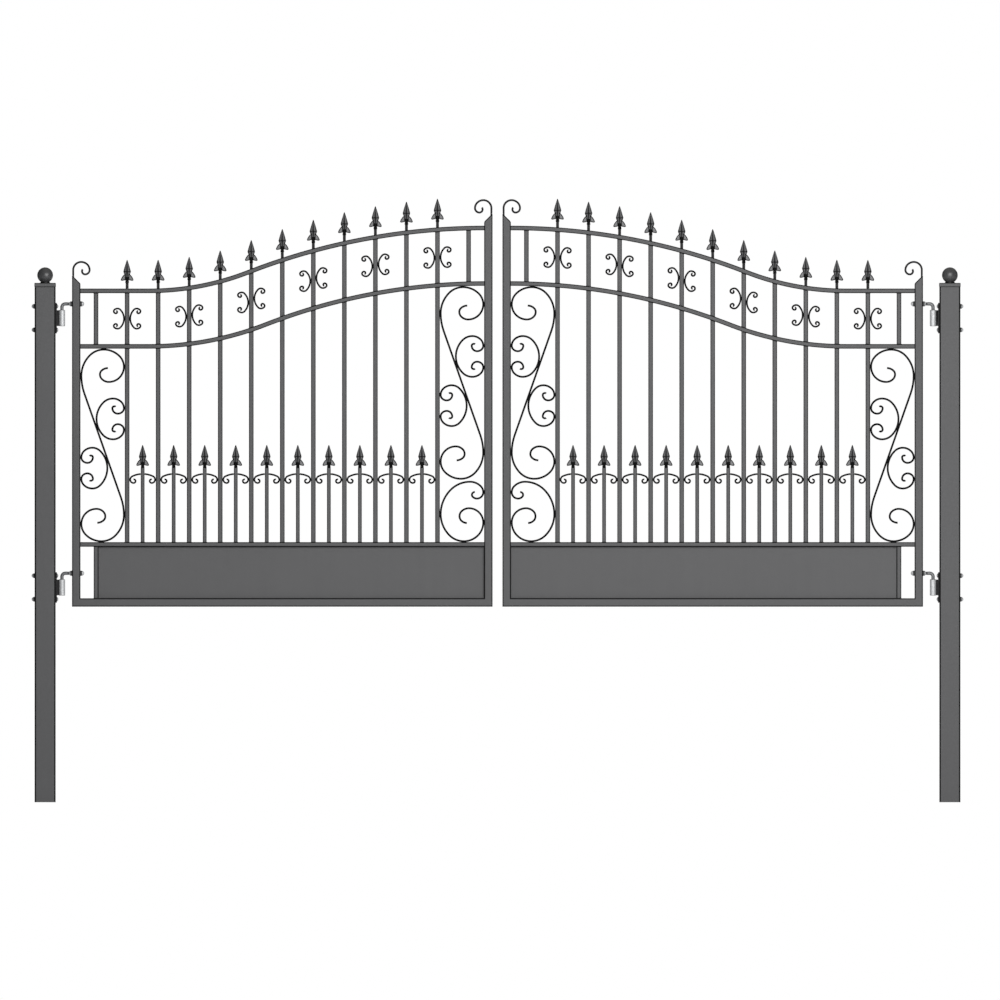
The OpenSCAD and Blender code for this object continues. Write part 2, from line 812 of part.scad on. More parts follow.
left() hinge_stile();  // left_hinge_stile
left() meeting_stile();  // left_meeting_stile
left() top_rail();  // left_top_rail
left() band_rail();  // left_band_rail
left() mid_rail();  // left_mid_rail
left() bottom_rail();  // left_bottom_rail
left() stile_scrolls();  // left_stile_scrolls
left() lower_bars();  // left_lower_bars
left() band_bars();  // left_band_bars
left() band_uprights();  // left_band_uprights
left() panel_upright();  // left_panel_upright
left() kick_panel();  // left_kick_panel
left() spears();  // left_spears
left() short_bars();  // left_short_bars
left() short_spears();  // left_short_spears
left() collar_scrolls();  // left_collar_scrolls
left() band_scrolls();  // left_band_scrolls
left() s_scrolls();  // left_s_scrolls
left() c_scrolls();  // left_c_scrolls
left() base_scroll();  // left_base_scroll
left() hinge_pins();  // left_hinge_pins
left() lock_nuts();  // left_lock_nuts
left() dome_nuts();  // left_dome_nuts

right() hinge_stile();  // right_hinge_stile
right() meeting_stile();  // right_meeting_stile
right() top_rail();  // right_top_rail
right() band_rail();  // right_band_rail
right() mid_rail();  // right_mid_rail
right() bottom_rail();  // right_bottom_rail
right() stile_scrolls();  // right_stile_scrolls
right() lower_bars();  // right_lower_bars
right() band_bars();  // right_band_bars
right() band_uprights();  // right_band_uprights
right() panel_upright();  // right_panel_upright
right() kick_panel();  // right_kick_panel
right() spears();  // right_spears
right() short_bars();  // right_short_bars
right() short_spears();  // right_short_spears
right() collar_scrolls();  // right_collar_scrolls
right() band_scrolls();  // right_band_scrolls
right() s_scrolls();  // right_s_scrolls
right() c_scrolls();  // right_c_scrolls
right() base_scroll();  // right_base_scroll
right() hinge_pins();  // right_hinge_pins
right() lock_nuts();  // right_lock_nuts
right() dome_nuts();  // right_dome_nuts
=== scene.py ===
"""Looks of an arched double-leaf driveway gate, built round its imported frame.

Sizes are millimetres throughout. A finished mesh is scaled to metres when it becomes a piece.
"""
import logging
import math
import random
from collections.abc import Callable, Iterable, Sequence
from dataclasses import dataclass, field
from enum import Enum
from typing import Union

import bmesh
import bpy
from bmesh.types import BMEdge, BMesh, BMFace, BMVert
from mathutils import Matrix, Vector


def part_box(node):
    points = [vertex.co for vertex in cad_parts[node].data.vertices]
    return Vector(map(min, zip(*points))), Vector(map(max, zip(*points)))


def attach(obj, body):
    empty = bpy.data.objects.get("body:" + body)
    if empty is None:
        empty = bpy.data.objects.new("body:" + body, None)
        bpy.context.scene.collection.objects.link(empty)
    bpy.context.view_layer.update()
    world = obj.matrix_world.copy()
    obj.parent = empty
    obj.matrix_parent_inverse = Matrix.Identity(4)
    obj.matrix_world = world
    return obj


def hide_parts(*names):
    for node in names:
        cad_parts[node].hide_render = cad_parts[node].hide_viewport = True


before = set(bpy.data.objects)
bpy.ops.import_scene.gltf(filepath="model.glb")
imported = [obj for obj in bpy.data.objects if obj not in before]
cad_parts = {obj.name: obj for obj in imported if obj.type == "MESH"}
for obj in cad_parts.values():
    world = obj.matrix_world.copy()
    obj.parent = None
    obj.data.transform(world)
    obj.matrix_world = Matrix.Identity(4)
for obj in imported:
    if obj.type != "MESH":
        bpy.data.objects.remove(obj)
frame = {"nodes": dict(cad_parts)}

log = logging.getLogger("gate")

MM = 0.001
TO_MM = 1000.0
AXIS_Y = Vector((0, 1, 0))
AXIS_Z = Vector((0, 0, 1))
SMOOTH_BELOW = math.radians(40)
# Name of the mesh layer that marks where painted edge shade goes.
EDGE_SHADE_MARK = "edge"
WHITE = (1.0, 1.0, 1.0, 1.0)
DUST = (0.34, 0.325, 0.30, 1.0)

# One bend of a bar: its radius and the angle that it turns to the right, or 0 and a straight length.
Bend = tuple[float, float]
Colour = tuple[float, float, float, float]
Value = Union[float, Sequence[float], "Wire"]


class Side(Enum):
    """The leaf that a piece belongs to."""

    LEFT = "left"
    RIGHT = "right"

    @property
    def body(self) -> str:
        """The moving body of this leaf."""
        return f"{self.value}_leaf"

    def node(self, name: str) -> str:
        """The frame's node of that name on this leaf."""
        return f"{self.value}_{name}"


class Slot(Enum):
    """The record's material slots."""

    COAT = "coat"
    ZINC = "zinc"


# ---------------------------------------------------------------- shader graphs


class Wire:
    """A shader socket that takes part in arithmetic."""

    def __init__(self, graph: "Graph", socket: bpy.types.NodeSocket) -> None:
        """Wraps one output socket of a graph."""
        self.graph = graph
        self.socket = socket

    def _math(self, operation: str, first: Value, second: Value = 0.0) -> "Wire":
        """Adds a Math node for one operation."""
        return self.graph.node("ShaderNodeMath", {"operation": operation}, {0: first, 1: second})

    def __add__(self, other: Value) -> "Wire":
        """Adds a value."""
        return self._math("ADD", self, other)

    def __sub__(self, other: Value) -> "Wire":
        """Subtracts a value."""
        return self._math("SUBTRACT", self, other)

    def __rsub__(self, other: Value) -> "Wire":
        """Is subtracted from a value."""
        return self._math("SUBTRACT", other, self)

    def __mul__(self, other: Value) -> "Wire":
        """Multiplies by a value."""
        return self._math("MULTIPLY", self, other)

    __radd__ = __add__
    __rmul__ = __mul__

    def __pow__(self, other: Value) -> "Wire":
        """Is raised to a power."""
        return self._math("POWER", self, other)

    def clamped(self) -> "Wire":
        """Kept between 0 and 1."""
        return self._math("MAXIMUM", self._math("MINIMUM", self, 1.0), 0.0)


class Graph:
    """The node graph of a procedural material or of a sky."""

    def __init__(self, owner: Union[bpy.types.Material, bpy.types.World]) -> None:
        """Empties the graph of a material or a world."""
        owner.use_nodes = True
        self.owner = owner
        self.tree = owner.node_tree
        self.tree.nodes.clear()

    def node(self, kind: str, settings: dict, sockets: dict, output: Union[int, str, None] = 0) -> Wire:
        """Adds any node.

        Args:
            kind: The node's type.
            settings: Attributes of the node, set first. "stops" fills a colour ramp.
            sockets: Input name or number to a value or a wire.
            output: The output that is handed back, or None for a node without one.

        Returns:
            The chosen output as a wire.
        """
        made = self.tree.nodes.new(kind)
        for key, value in settings.items():
            if key == "stops":
                for element, (position, level) in zip(made.color_ramp.elements, value):
                    element.position = position
                    element.color = (level, level, level, 1.0)
            else:
                setattr(made, key, value)
        for key, value in sockets.items():
            if isinstance(value, Wire):
                self.tree.links.new(value.socket, made.inputs[key])
            else:
                made.inputs[key].default_value = value
        return Wire(self, made.outputs[output] if output is not None else None)

    def place(self, scale: Sequence[float] = (1.0, 1.0, 1.0)) -> Wire:
        """The object's own coordinates in metres, stretched by a scale."""
        here = self.node("ShaderNodeTexCoord", {}, {}, "Object")
        return self.node("ShaderNodeMapping", {}, {"Vector": here, "Scale": scale})

    def noise(self, where: Wire, scale: float, detail: float = 3.0, roughness: float = 0.55) -> Wire:
        """Noise from 0 to 1 at that many cells to the metre."""
        sockets = {"Vector": where, "Scale": scale, "Detail": detail, "Roughness": roughness}
        return self.node("ShaderNodeTexNoise", {}, sockets)

    def ramp(self, value: Wire, stops: Sequence[tuple[float, float]]) -> Wire:
        """A grey ramp through two stops."""
        return self.node("ShaderNodeValToRGB", {"stops": stops}, {"Fac": value})

    def blend(self, share: Value, first: Union[Colour, Wire], second: Union[Colour, Wire]) -> Wire:
        """Mixes two colours by a share."""
        sockets = {0: share, 6: first, 7: second}
        return self.node("ShaderNodeMix", {"data_type": "RGBA"}, sockets, 2)

    def facing_up(self) -> Wire:
        """How far the surface faces up, from -1 to 1."""
        normal = self.node("ShaderNodeNewGeometry", {}, {}, "Normal")
        return self.node("ShaderNodeSeparateXYZ", {}, {0: normal}, 2)

    def edge(self) -> Wire:
        """The share of painted edge shade at a point, as the pieces carry it."""
        return self.node("ShaderNodeAttribute", {"attribute_name": EDGE_SHADE_MARK}, {}, "Fac")

    def bump(self, height: Wire, distance: float, strength: float, under: Union[Wire, None] = None) -> Wire:
        """A surface relief of that distance in metres.

        Args:
            height: The relief's height, from 0 to 1.
            distance: Its full depth in metres.
            strength: How strongly it is shown.
            under: A relief that lies under it, if there is one.

        Returns:
            The normal of the relief.
        """
        sockets = {"Height": height, "Distance": distance, "Strength": strength}
        if under is not None:
            sockets["Normal"] = under
        return self.node("ShaderNodeBump", {}, sockets)

    def surface(self, sockets: dict) -> bpy.types.Material:
        """Ends the graph in one principled shader."""
        shader = self.node("ShaderNodeBsdfPrincipled", {}, sockets)
        self.node("ShaderNodeOutputMaterial", {}, {"Surface": shader}, None)
        return self.owner


def shaded(colour: Colour, share: float) -> Colour:
    """The colour, made lighter or darker by a share."""
    red, green, blue, alpha = colour
    return (share * red, share * green, share * blue, alpha)


@dataclass(frozen=True)
class PowderCoat:
    """A satin powder coat over galvanised steel, with painted shade on its rounded edges and dust on what
    faces up.
    """

    name: str
    tone: Colour
    roughness: float = 0.46
    cast: float = 0.0
    wavy: float = 0.0
    # How dark the painted shade on marked edges gets, and how it falls off.
    edge_shade: float = 0.05
    edge_shade_falloff: float = 1.4
    gleam: float = 0.2
    slot: Slot = Slot.COAT

    def material(self) -> bpy.types.Material:
        """Builds the coat's material.

        Returns:
            The finished material.
        """
        g = Graph(bpy.data.materials.new(self.name))
        clouds = g.noise(g.place(), 2.2, 4.0)
        runs = g.noise(g.place((26.0, 26.0, 1.6)), 1.0, 3.0)
        peel = g.noise(g.place(), 620.0, 2.0, 0.5)
        pits = g.noise(g.place(), 170.0, 4.0, 0.6)
        cloudy = (0.65 * clouds + 0.35 * runs).clamped()
        body = g.blend(cloudy, shaded(self.tone, 0.9), shaded(self.tone, 1.1))
        patchy = g.ramp(g.noise(g.place(), 38.0, 5.0), ((0.35, 0.15), (0.7, 1.0)))
        settled = (g.facing_up() - 0.35).clamped() * patchy
        dusty = g.blend((0.42 * settled).clamped(), body, DUST)
        # Painted shade: marked rounded edges are darkened towards a darker copy of the tone.
        colour = g.blend(g.edge() ** self.edge_shade_falloff, dusty, shaded(self.tone, self.edge_shade))
        shine = (self.roughness - 0.05) + 0.1 * clouds + 0.16 * settled + 0.03 * peel + 0.15 * g.edge()
        relief = g.bump(peel, 0.00004, 0.5)
        if self.cast > 0:
            relief = g.bump(pits, 0.0006 * self.cast, 0.8, relief)
        if self.wavy > 0:
            waves = g.noise(g.place((1.6, 1.0, 3.0)), 1.0, 1.0)
            relief = g.bump(waves, 0.006 * self.wavy, 0.35, relief)
        return g.surface({
            "Base Color": colour, "Roughness": shine.clamped(), "Normal": relief,
            "Specular IOR Level": self.gleam,
        })


@dataclass(frozen=True)
class BrightZinc:
    """Bright zinc plate with a faint spangle, dull patches and painted shade on its marked rims."""

    name: str
    tone: Colour = (0.76, 0.77, 0.78, 1.0)
    roughness: float = 0.42
    metal: float = 0.3
    slot: Slot = Slot.ZINC

    def material(self) -> bpy.types.Material:
        """Builds the plate's material.

        Returns:
            The finished material.
        """
        g = Graph(bpy.data.materials.new(self.name))
        spangle = g.node("ShaderNodeTexVoronoi", {}, {"Vector": g.place(), "Scale": 260.0}, "Color")
        patches = g.noise(g.place(), 55.0, 4.0)
        scratches = g.noise(g.place((900.0, 900.0, 40.0)), 1.0, 2.0)
        grey = g.node("ShaderNodeRGBToBW", {}, {0: spangle})
        mottle = (0.5 * patches + 0.35 * grey).clamped()
        body = g.blend(mottle, self.tone, shaded(self.tone, 0.74))
        # Painted shade: marked faces are darkened almost to black.
        colour = g.blend((0.9 * g.edge()).clamped(), body, shaded(self.tone, 0.04))
        shine = (self.roughness - 0.06) + 0.14 * patches + 0.05 * grey + 0.04 * scratches
        return g.surface({
            "Base Color": colour, "Metallic": self.metal, "Roughness": shine.clamped(),
            "Normal": g.bump(scratches, 0.00002, 0.4),
        })


Finish = Union[PowderCoat, BrightZinc]


@dataclass(frozen=True)
class Palette:
    """The gate's finishes, each made into a material once."""

    frame: PowderCoat = PowderCoat("anthracite_coat", (0.118, 0.118, 0.120, 1.0))
    sheet: PowderCoat = PowderCoat("anthracite_sheet_coat", (0.122, 0.122, 0.124, 1.0), wavy=1.0)
    ball: PowderCoat = PowderCoat("ball_coat", (0.07, 0.07, 0.072, 1.0), roughness=0.32, gleam=0.6)
    plate: PowderCoat = PowderCoat("hinge_plate_coat", (0.012, 0.012, 0.013, 1.0), roughness=0.42)
    forged: PowderCoat = PowderCoat(
        "forged_bar_coat", (0.006, 0.006, 0.0065, 1.0), roughness=0.55, cast=0.3, edge_shade=0.6, gleam=0.02,
    )
    curl: PowderCoat = PowderCoat("stile_curl_coat", (0.018, 0.018, 0.019, 1.0), 0.5, cast=0.4, gleam=0.06)
    # Painted shade makes the marked ridges, rims and socket near black; the unmarked hollows keep a lighter
    # tone that stands as a painted highlight.
    cast: PowderCoat = PowderCoat(
        "cast_spear_coat", (0.25, 0.25, 0.254, 1.0), 0.55, cast=1.0, edge_shade=0.015, edge_shade_falloff=0.45, gleam=0.08,
    )
    weld: PowderCoat = PowderCoat("weld_bead_coat", (0.045, 0.045, 0.046, 1.0), 0.55, cast=0.7)
    zinc: BrightZinc = BrightZinc("bright_zinc")
    pin_zinc: BrightZinc = BrightZinc("dull_zinc", (0.23, 0.235, 0.24, 1.0), 0.4, 0.5)
    made: dict = field(default_factory=dict)

    def material(self, finish: Finish) -> bpy.types.Material:
        """The finish as a material, built on its first use.

        Args:
            finish: One of the palette's finishes.

        Returns:
            Its material.
        """
        if finish.name not in self.made:
            self.made[finish.name] = finish.material()
        return self.made[finish.name]


# ---------------------------------------------------------------- reading the frame


@dataclass(frozen=True)
class Solid:
    """One separate solid of a node, as its points in millimetres."""

    points: tuple[Vector, ...]

    @property
    def low(self) -> Vector:
        """The lowest corner of its box."""
        return Vector([min(p[i] for p in self.points) for i in range(3)])

    @property
    def high(self) -> Vector:
        """The highest corner of its box."""
        return Vector([max(p[i] for p in self.points) for i in range(3)])

    @property
    def centre(self) -> Vector:
        """The middle of its box."""
        return (self.low + self.high) / 2

    @property
    def size(self) -> Vector:
        """The sides of its box."""
        return self.high - self.low

    def end_heights(self, top: bool) -> tuple[float, float]:
        """The heights of an end's left and right sides.

        Args:
            top: Whether the upper end is meant.

        Returns:
            The heights in millimetres.
        """
        pick = max if top else min
        low, high = self.low.x, self.high.x
        left = pick(p.z for p in self.points if p.x < low + 0.1)
        right = pick(p.z for p in self.points if p.x > high - 0.1)
        return left, right


def merged_copy(node: str) -> BMesh:
    """A node's mesh in millimetres, its triangles merged into flat faces.

    Args:
        node: The node's name.

    Returns:
        The merged mesh, with no marks on it.
    """
    bm = new_mesh()
    bm.from_mesh(frame["nodes"][node].data)
    bmesh.ops.scale(bm, vec=Vector((TO_MM, TO_MM, TO_MM)), verts=bm.verts)
    bmesh.ops.remove_doubles(bm, verts=bm.verts, dist=0.01)
    bmesh.ops.dissolve_limit(
        bm, angle_limit=math.radians(0.4), use_dissolve_boundaries=False,
        verts=bm.verts, edges=bm.edges, delimit=set(),
    )
    return bm


def solids(node: str) -> list[Solid]:
    """A node's separate solids, from left to right.

    Args:
        node: The node's name.

    Returns:
        The solids.
    """
    bm = merged_copy(node)
    unseen = set(bm.verts)
    found = []
    while unseen:
        stack = [unseen.pop()]
        group = []
        while stack:
            vert = stack.pop()
            group.append(vert.co.copy())
            for edge in vert.link_edges:
                other = edge.other_vert(vert)
                if other in unseen:
                    unseen.discard(other)
                    stack.append(other)
        found.append(Solid(tuple(group)))
    bm.free()
    return sorted(found, key=lambda s: (round(s.centre.x), s.centre.z))


# ---------------------------------------------------------------- shaping


def stamp(target: BMesh, part: BMesh, matrix: Matrix) -> None:
    """Adds a placed copy of a part, with its marks for painted edge shade, to a mesh.

    Args:
        target: The mesh that takes the copy.
        part: The mesh that is copied.
        matrix: Where the copy goes. One that mirrors turns the faces outwards again.
    """
    scratch = bpy.data.meshes.new("stamp")
    part.to_mesh(scratch)
    scratch.transform(matrix)
    if matrix.determinant() < 0:
        scratch.flip_normals()
    target.from_mesh(scratch)
    bpy.data.meshes.remove(scratch)


def mark(bm: BMesh, faces: Iterable[BMFace]) -> None:
    """Gives faces the full share of painted edge shade.

    Args:
        bm: The mesh in which the faces are.
        faces: The faces that get the painted edge shade.
    """
    layer = bm.loops.layers.float[EDGE_SHADE_MARK]
    for face in faces:
        for loop in face.loops:
            loop[layer] = 1.0


def new_mesh() -> BMesh:
    """An empty mesh that can carry shares of painted edge shade."""
    bm = bmesh.new()
    bm.loops.layers.float.new(EDGE_SHADE_MARK)
    return bm


def round_edges(
    bm: BMesh, radius: float, chosen: Callable[[BMEdge], bool], segments: int = 3, clamp: bool = True,
) -> None:
    """Rounds the outer edges that a rule chooses and marks the rounded faces for painted edge shade.

    Args:
        bm: The mesh in millimetres.
        radius: Radius of the rounding.
        chosen: Says whether an edge is rounded.
        segments: Faces across the rounding.
        clamp: Whether a rounding stops where it meets another one.
    """
    edges = [
        e for e in bm.edges
        if e.is_manifold and e.is_convex and e.calc_face_angle() > math.radians(30) and chosen(e)
    ]
    made = bmesh.ops.bevel(
        bm, geom=edges, offset=radius, offset_type="OFFSET", affect="EDGES",
        segments=segments, profile=0.5, material=-1, clamp_overlap=clamp,
    )
    # Painted shade: the rounded faces are marked dark.
    mark(bm, made["faces"])


def along_rail(edge: BMEdge) -> bool:
    """Whether an edge runs along a rail, between its front and its top or bottom.

    Args:
        edge: An edge of a merged copy.

    Returns:
        Whether it is to be rounded.
    """
    across = [abs(f.normal.y) for f in edge.link_faces]
    level = [abs(f.normal.z) for f in edge.link_faces]
    return max(across) > 0.9 and max(level) > 0.8


def along_upright(edge: BMEdge) -> bool:
    """Whether an edge runs along an upright, between its front and a side.

    Args:
        edge: An edge of a merged copy.

    Returns:
        Whether it is to be rounded.
    """
    across = [abs(f.normal.y) for f in edge.link_faces]
    sides = [abs(f.normal.x) for f in edge.link_faces]
    return max(across) > 0.9 and max(sides) > 0.8


def along_stile(edge: BMEdge) -> bool:
    """Whether an edge runs along a stile or round its sloped top."""
    over = max(f.normal.z for f in edge.link_faces)
    return along_upright(edge) or 0.5 < over < 0.9


def any_edge(edge: BMEdge) -> bool:
    """Takes every edge."""
    return edge.is_valid


def lathe(profile: Sequence[tuple[float, float]], steps: int = 40) -> BMesh:
    """Turns a profile of radii and heights round the Z axis.

    Args:
        profile: Pairs of a radius and a height, from the lower end to the upper one.
        steps: Faces round the axis.

    Returns:
        The closed turned mesh.
    """
    bm = new_mesh()
    verts = [bm.verts.new((r, 0.0, z)) for r, z in profile]
    for first, second in zip(verts, verts[1:]):
        bm.edges.new((first, second))
    bmesh.ops.spin(
        bm, geom=bm.verts[:] + bm.edges[:], cent=Vector(), axis=AXIS_Z, dvec=Vector(),
        angle=math.tau, steps=steps, use_merge=True, use_duplicate=False,
    )
    bmesh.ops.remove_doubles(bm, verts=bm.verts, dist=0.001)
    bmesh.ops.recalc_face_normals(bm, faces=bm.faces)
    return bm


def quarter(ahead: float, aside: float) -> list[Bend]:
    """A quarter turn as two arcs of 45 degrees, which goes ahead and aside by these lengths."""
    c = math.cos(math.radians(45))
    d = 1 - c
    return [((c * ahead - d * aside) / (c - d), 45), ((c * aside - d * ahead) / (c - d), 45)]


def volute(quarters: Sequence[tuple[float, float]]) -> list[Bend]:
    """A run of quarter turns that tightens towards its end."""
    return [bend for ahead, aside in quarters for bend in quarter(ahead, aside)]


@dataclass
class BarEnd:
    """Where a bar is while it is bent: its place in the gate's plane and its heading in degrees."""

    x: float
    z: float
    heading: float

    def step(self, bend: Bend) -> None:
        """Moves along one bend.

        Args:
            bend: A radius and an angle to the right, or 0 and a straight length.
        """
        radius, amount = bend
        h = math.radians(self.heading)
        if radius == 0:
            self.x += amount * math.cos(h)
            self.z += amount * math.sin(h)
            return
        turned = math.radians(self.heading - amount)
        side = radius if amount > 0 else -radius
        self.x += side * (math.sin(h) - math.sin(turned))
        self.z += side * (math.cos(turned) - math.cos(h))
        self.heading -= amount


@dataclass(frozen=True)
class Bar:
    """A bar section that is pulled along its bends in the gate's plane.

    A round bar has a depth of 0 and its thickness as its diameter. Hammering and the coat swell a flat bar.
    """

    thickness: float
    depth: float
    corner: float
    turn_step: float = 6.0
    swell: float = 0.0

    def section(self, bm: BMesh) -> BMFace:
        """Makes the section at the origin, facing along X.

        Args:
            bm: The empty mesh that the section goes into.

        Returns:
            The section's face.
        """
        if self.depth == 0:
            bmesh.ops.create_circle(bm, cap_ends=True, segments=28, radius=self.thickness / 2)
        else:
            bmesh.ops.create_grid(bm, x_segments=1, y_segments=1, size=0.5)
            sides = Vector((self.thickness + self.swell, self.depth + self.swell, 1))
            bmesh.ops.scale(bm, vec=sides, verts=bm.verts)
            bmesh.ops.bevel(
                bm, geom=bm.verts[:], offset=self.corner, affect="VERTICES", segments=2,
                profile=0.5, material=-1,
            )
        bmesh.ops.rotate(bm, cent=Vector(), matrix=Matrix.Rotation(math.pi / 2, 3, "Y"), verts=bm.verts)
        return next(iter(bm.faces))

    def bend(self, start: BarEnd, path: Sequence[Bend]) -> BMesh:
        """Pulls the section from a start along a path.

        Args:
            start: Where the bar starts and which way it heads.
            path: The bends in their order.

        Returns:
            The closed mesh of the bar.
        """
        bm = new_mesh()
        face = self.section(bm)
        at = BarEnd(start.x, start.z, start.heading)
        turn = Matrix.Rotation(math.radians(at.heading), 4, -AXIS_Y)
        bmesh.ops.transform(bm, matrix=Matrix.Translation((at.x, 0, at.z)) @ turn, verts=bm.verts)
        last = [face] + list(face.edges) + list(face.verts)
        for radius, amount in path:
            h = math.radians(at.heading)
            if radius == 0:
                made = bmesh.ops.extrude_face_region(bm, geom=last)["geom"]
                shift = Vector((amount * math.cos(h), 0, amount * math.sin(h)))
                bmesh.ops.translate(bm, vec=shift, verts=[v for v in made if isinstance(v, BMVert)])
                last = made
            else:
                side = radius if amount > 0 else -radius
                centre = Vector((at.x + side * math.sin(h), 0, at.z - side * math.cos(h)))
                steps = max(1, math.ceil(abs(amount) / self.turn_step))
                last = bmesh.ops.spin(
                    bm, geom=last, cent=centre, axis=AXIS_Y, dvec=Vector(),
                    angle=math.radians(amount), steps=steps, use_merge=False, use_duplicate=False,
                )["geom_last"]
            at.step((radius, amount))
        bmesh.ops.recalc_face_normals(bm, faces=bm.faces)
        return bm

    def bend_both_ways(self, middle: BarEnd, low: Sequence[Bend], up: Sequence[Bend]) -> BMesh:
        """A bar whose halves leave its upright middle, one upwards and one downwards.

        Args:
            middle: The bar's middle, heading up.
            low: The bends of the lower half, as if it went up.
            up: The bends of the upper half.

        Returns:
            The closed mesh of the bar.
        """
        at = BarEnd(0, 0, 90)
        for bend in low:
            at.step(bend)
        start = BarEnd(middle.x + at.x, middle.z - at.z, 180 - at.heading)
        return self.bend(start, list(low)[::-1] + list(up))

    def bend_turned(self, middle: BarEnd, half: Sequence[Bend]) -> BMesh:
        """A bar whose second half is the first one turned half round its middle.

        Args:
            middle: The bar's middle and its heading there.
            half: The bends of one half.

        Returns:
            The closed mesh of the bar.
        """
        at = BarEnd(0, 0, middle.heading)
        for bend in half:
            at.step(bend)
        start = BarEnd(middle.x - at.x, middle.z - at.z, at.heading)
        back = [(r, a if r == 0 else -a) for r, a in half][::-1]
        return self.bend(start, back + list(half))


# ---------------------------------------------------------------- pieces


class Shop:
    """Turns meshes into finished pieces that ride on the frame."""

    def __init__(self, palette: Palette) -> None:
        """Keeps the palette that the pieces are finished from."""
        self.palette = palette

    def piece(
        self, bm: BMesh, name: str, body: str, nodes: Sequence[str], finish: Finish,
    ) -> bpy.types.Object:
        """Makes one piece.

        Args:
            bm: Its mesh in millimetres, in the row frame. It is freed.
            name: The piece's name.
            body: The body that it rides on.
            nodes: The frame's nodes that it stands for.
            finish: Its finish.

        Returns:
            The new object, at the origin, unturned and unscaled.
        """
        bmesh.ops.scale(bm, vec=Vector((MM, MM, MM)), verts=bm.verts)
        mesh = bpy.data.meshes.new(name)
        bm.to_mesh(mesh)
        bm.free()
        mesh.shade_smooth()
        mesh.set_sharp_from_angle(angle=SMOOTH_BELOW)
        mesh.materials.append(self.palette.material(finish))
        made = bpy.data.objects.new(name, mesh)
        bpy.context.scene.collection.objects.link(made)
        weighted = made.modifiers.new("weighted_normals", "WEIGHTED_NORMAL")
        weighted.keep_sharp = True
        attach(made, body)
        if nodes:
            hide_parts(*nodes)
        log.info("%s: %d faces on %s", name, len(mesh.polygons), body)
        return made

    def rounded(
        self, node: str, body: str, radius: float, chosen: Callable[[BMEdge], bool], finish: Finish,
    ) -> None:
        """A copy of a node with rounded edges, as a piece in its place.

        Args:
            node: The node's name.
            body: The body that it rides on.
            radius: Radius of the rounding.
            chosen: Says which edges are rounded.
            finish: Its finish.
        """
        bm = merged_copy(node)
        face_y = max(v.co.y for v in bm.verts) - 0.05

        def on_face(edge: BMEdge) -> bool:
            """Whether the rule takes an edge that lies on the front or the back."""
            return all(abs(v.co.y) > face_y for v in edge.verts) and chosen(edge)

        round_edges(bm, radius, on_face, clamp=False)
        self.piece(bm, f"{node}_rounded", body, [node], finish)


@dataclass
class Posts:
    """The two posts with their caps and balls."""

    corner: float = 7.0
    cap_corner: float = 3.5
    ball_d: float = 75.0
    foot_d: float = 44.0
    foot_h: float = 5.0
    foot_sunk: float = 6.0
    foot_edge: float = 1.0
    foot_land: float = 6.0
    bead: float = 2.6
    bead_sides: int = 10
    ball_steps: int = 64
    ball_rings: int = 40

    def build(self, shop: Shop) -> None:
        """Builds and dresses the posts.

        Args:
            shop: Makes the pieces.
        """
        coat = shop.palette.frame
        for side in Side:
            shop.rounded(side.node("post"), "posts", self.corner, along_upright, coat)
        self.caps(shop)
        self.balls(shop)

    def caps(self, shop: Shop) -> None:
        """Caps with rounded outer edges, which carry painted edge shade.

        Args:
            shop: Makes the pieces.
        """
        bm = merged_copy("post_caps")
        low, high = (TO_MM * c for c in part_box("post_caps"))

        def outside(edge: BMEdge) -> bool:
            """Whether an edge lies on the cap's outer faces."""
            def out(vert: BMVert) -> bool:
                return abs(abs(vert.co.y) - high.y) < 0.1
            return all(out(v) for v in edge.verts) or all(abs(v.co.z - high.z) < 0.1 for v in edge.verts)

        round_edges(bm, self.cap_corner, outside)
        shop.piece(bm, "post_caps_pressed", "posts", ["post_caps"], shop.palette.frame)

    def balls(self, shop: Shop) -> None:
        """Balls welded to round feet, each foot with a bead on the cap; feet and beads are marked for
        painted shade under the ball.

        Args:
            shop: Makes the pieces.
        """
        radius = self.ball_d / 2
        cap_top = TO_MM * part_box("post_caps")[1].z
        up = self.foot_h + radius - self.foot_sunk
        ball = new_mesh()
        bmesh.ops.create_uvsphere(
            ball, u_segments=self.ball_steps, v_segments=self.ball_rings, radius=radius,
        )
        bmesh.ops.translate(ball, vec=Vector((0, 0, up)), verts=ball.verts)
        cut = bmesh.ops.bisect_plane(
            ball, geom=ball.verts[:] + ball.edges[:] + ball.faces[:],
            plane_co=Vector((0, 0, 1)), plane_no=AXIS_Z, clear_inner=True,
        )
        bmesh.ops.holes_fill(ball, edges=[e for e in cut["geom_cut"] if isinstance(e, BMEdge)], sides=0)
        edge = self.foot_d / 2
        foot = lathe([
            (0, 0), (edge, 0), (edge, self.foot_h - self.foot_edge), (edge - self.foot_edge, self.foot_h),
            (edge - self.foot_land, self.foot_h), (0, self.foot_h),
        ], self.ball_steps)
        # Painted shade under the ball: the foot is marked dark.
        mark(foot, foot.faces)
        bead = lathe([
            (edge + self.bead * math.cos(a), self.bead * math.sin(a))
            for a in (math.tau * k / self.bead_sides for k in range(self.bead_sides + 1))
        ], self.ball_steps)
        # Painted shade under the ball: the bead is marked dark.
        mark(bead, bead.faces)
        bm = new_mesh()
        for side in Side:
            low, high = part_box(side.node("post"))
            for part in (ball, foot, bead):
                stamp(bm, part, Matrix.Translation((TO_MM * (low.x + high.x) / 2, 0, cap_top)))
        for part in (ball, foot, bead):
            part.free()
        shop.piece(bm, "ball_finials_spun", "posts", ["ball_finials"], shop.palette.ball)


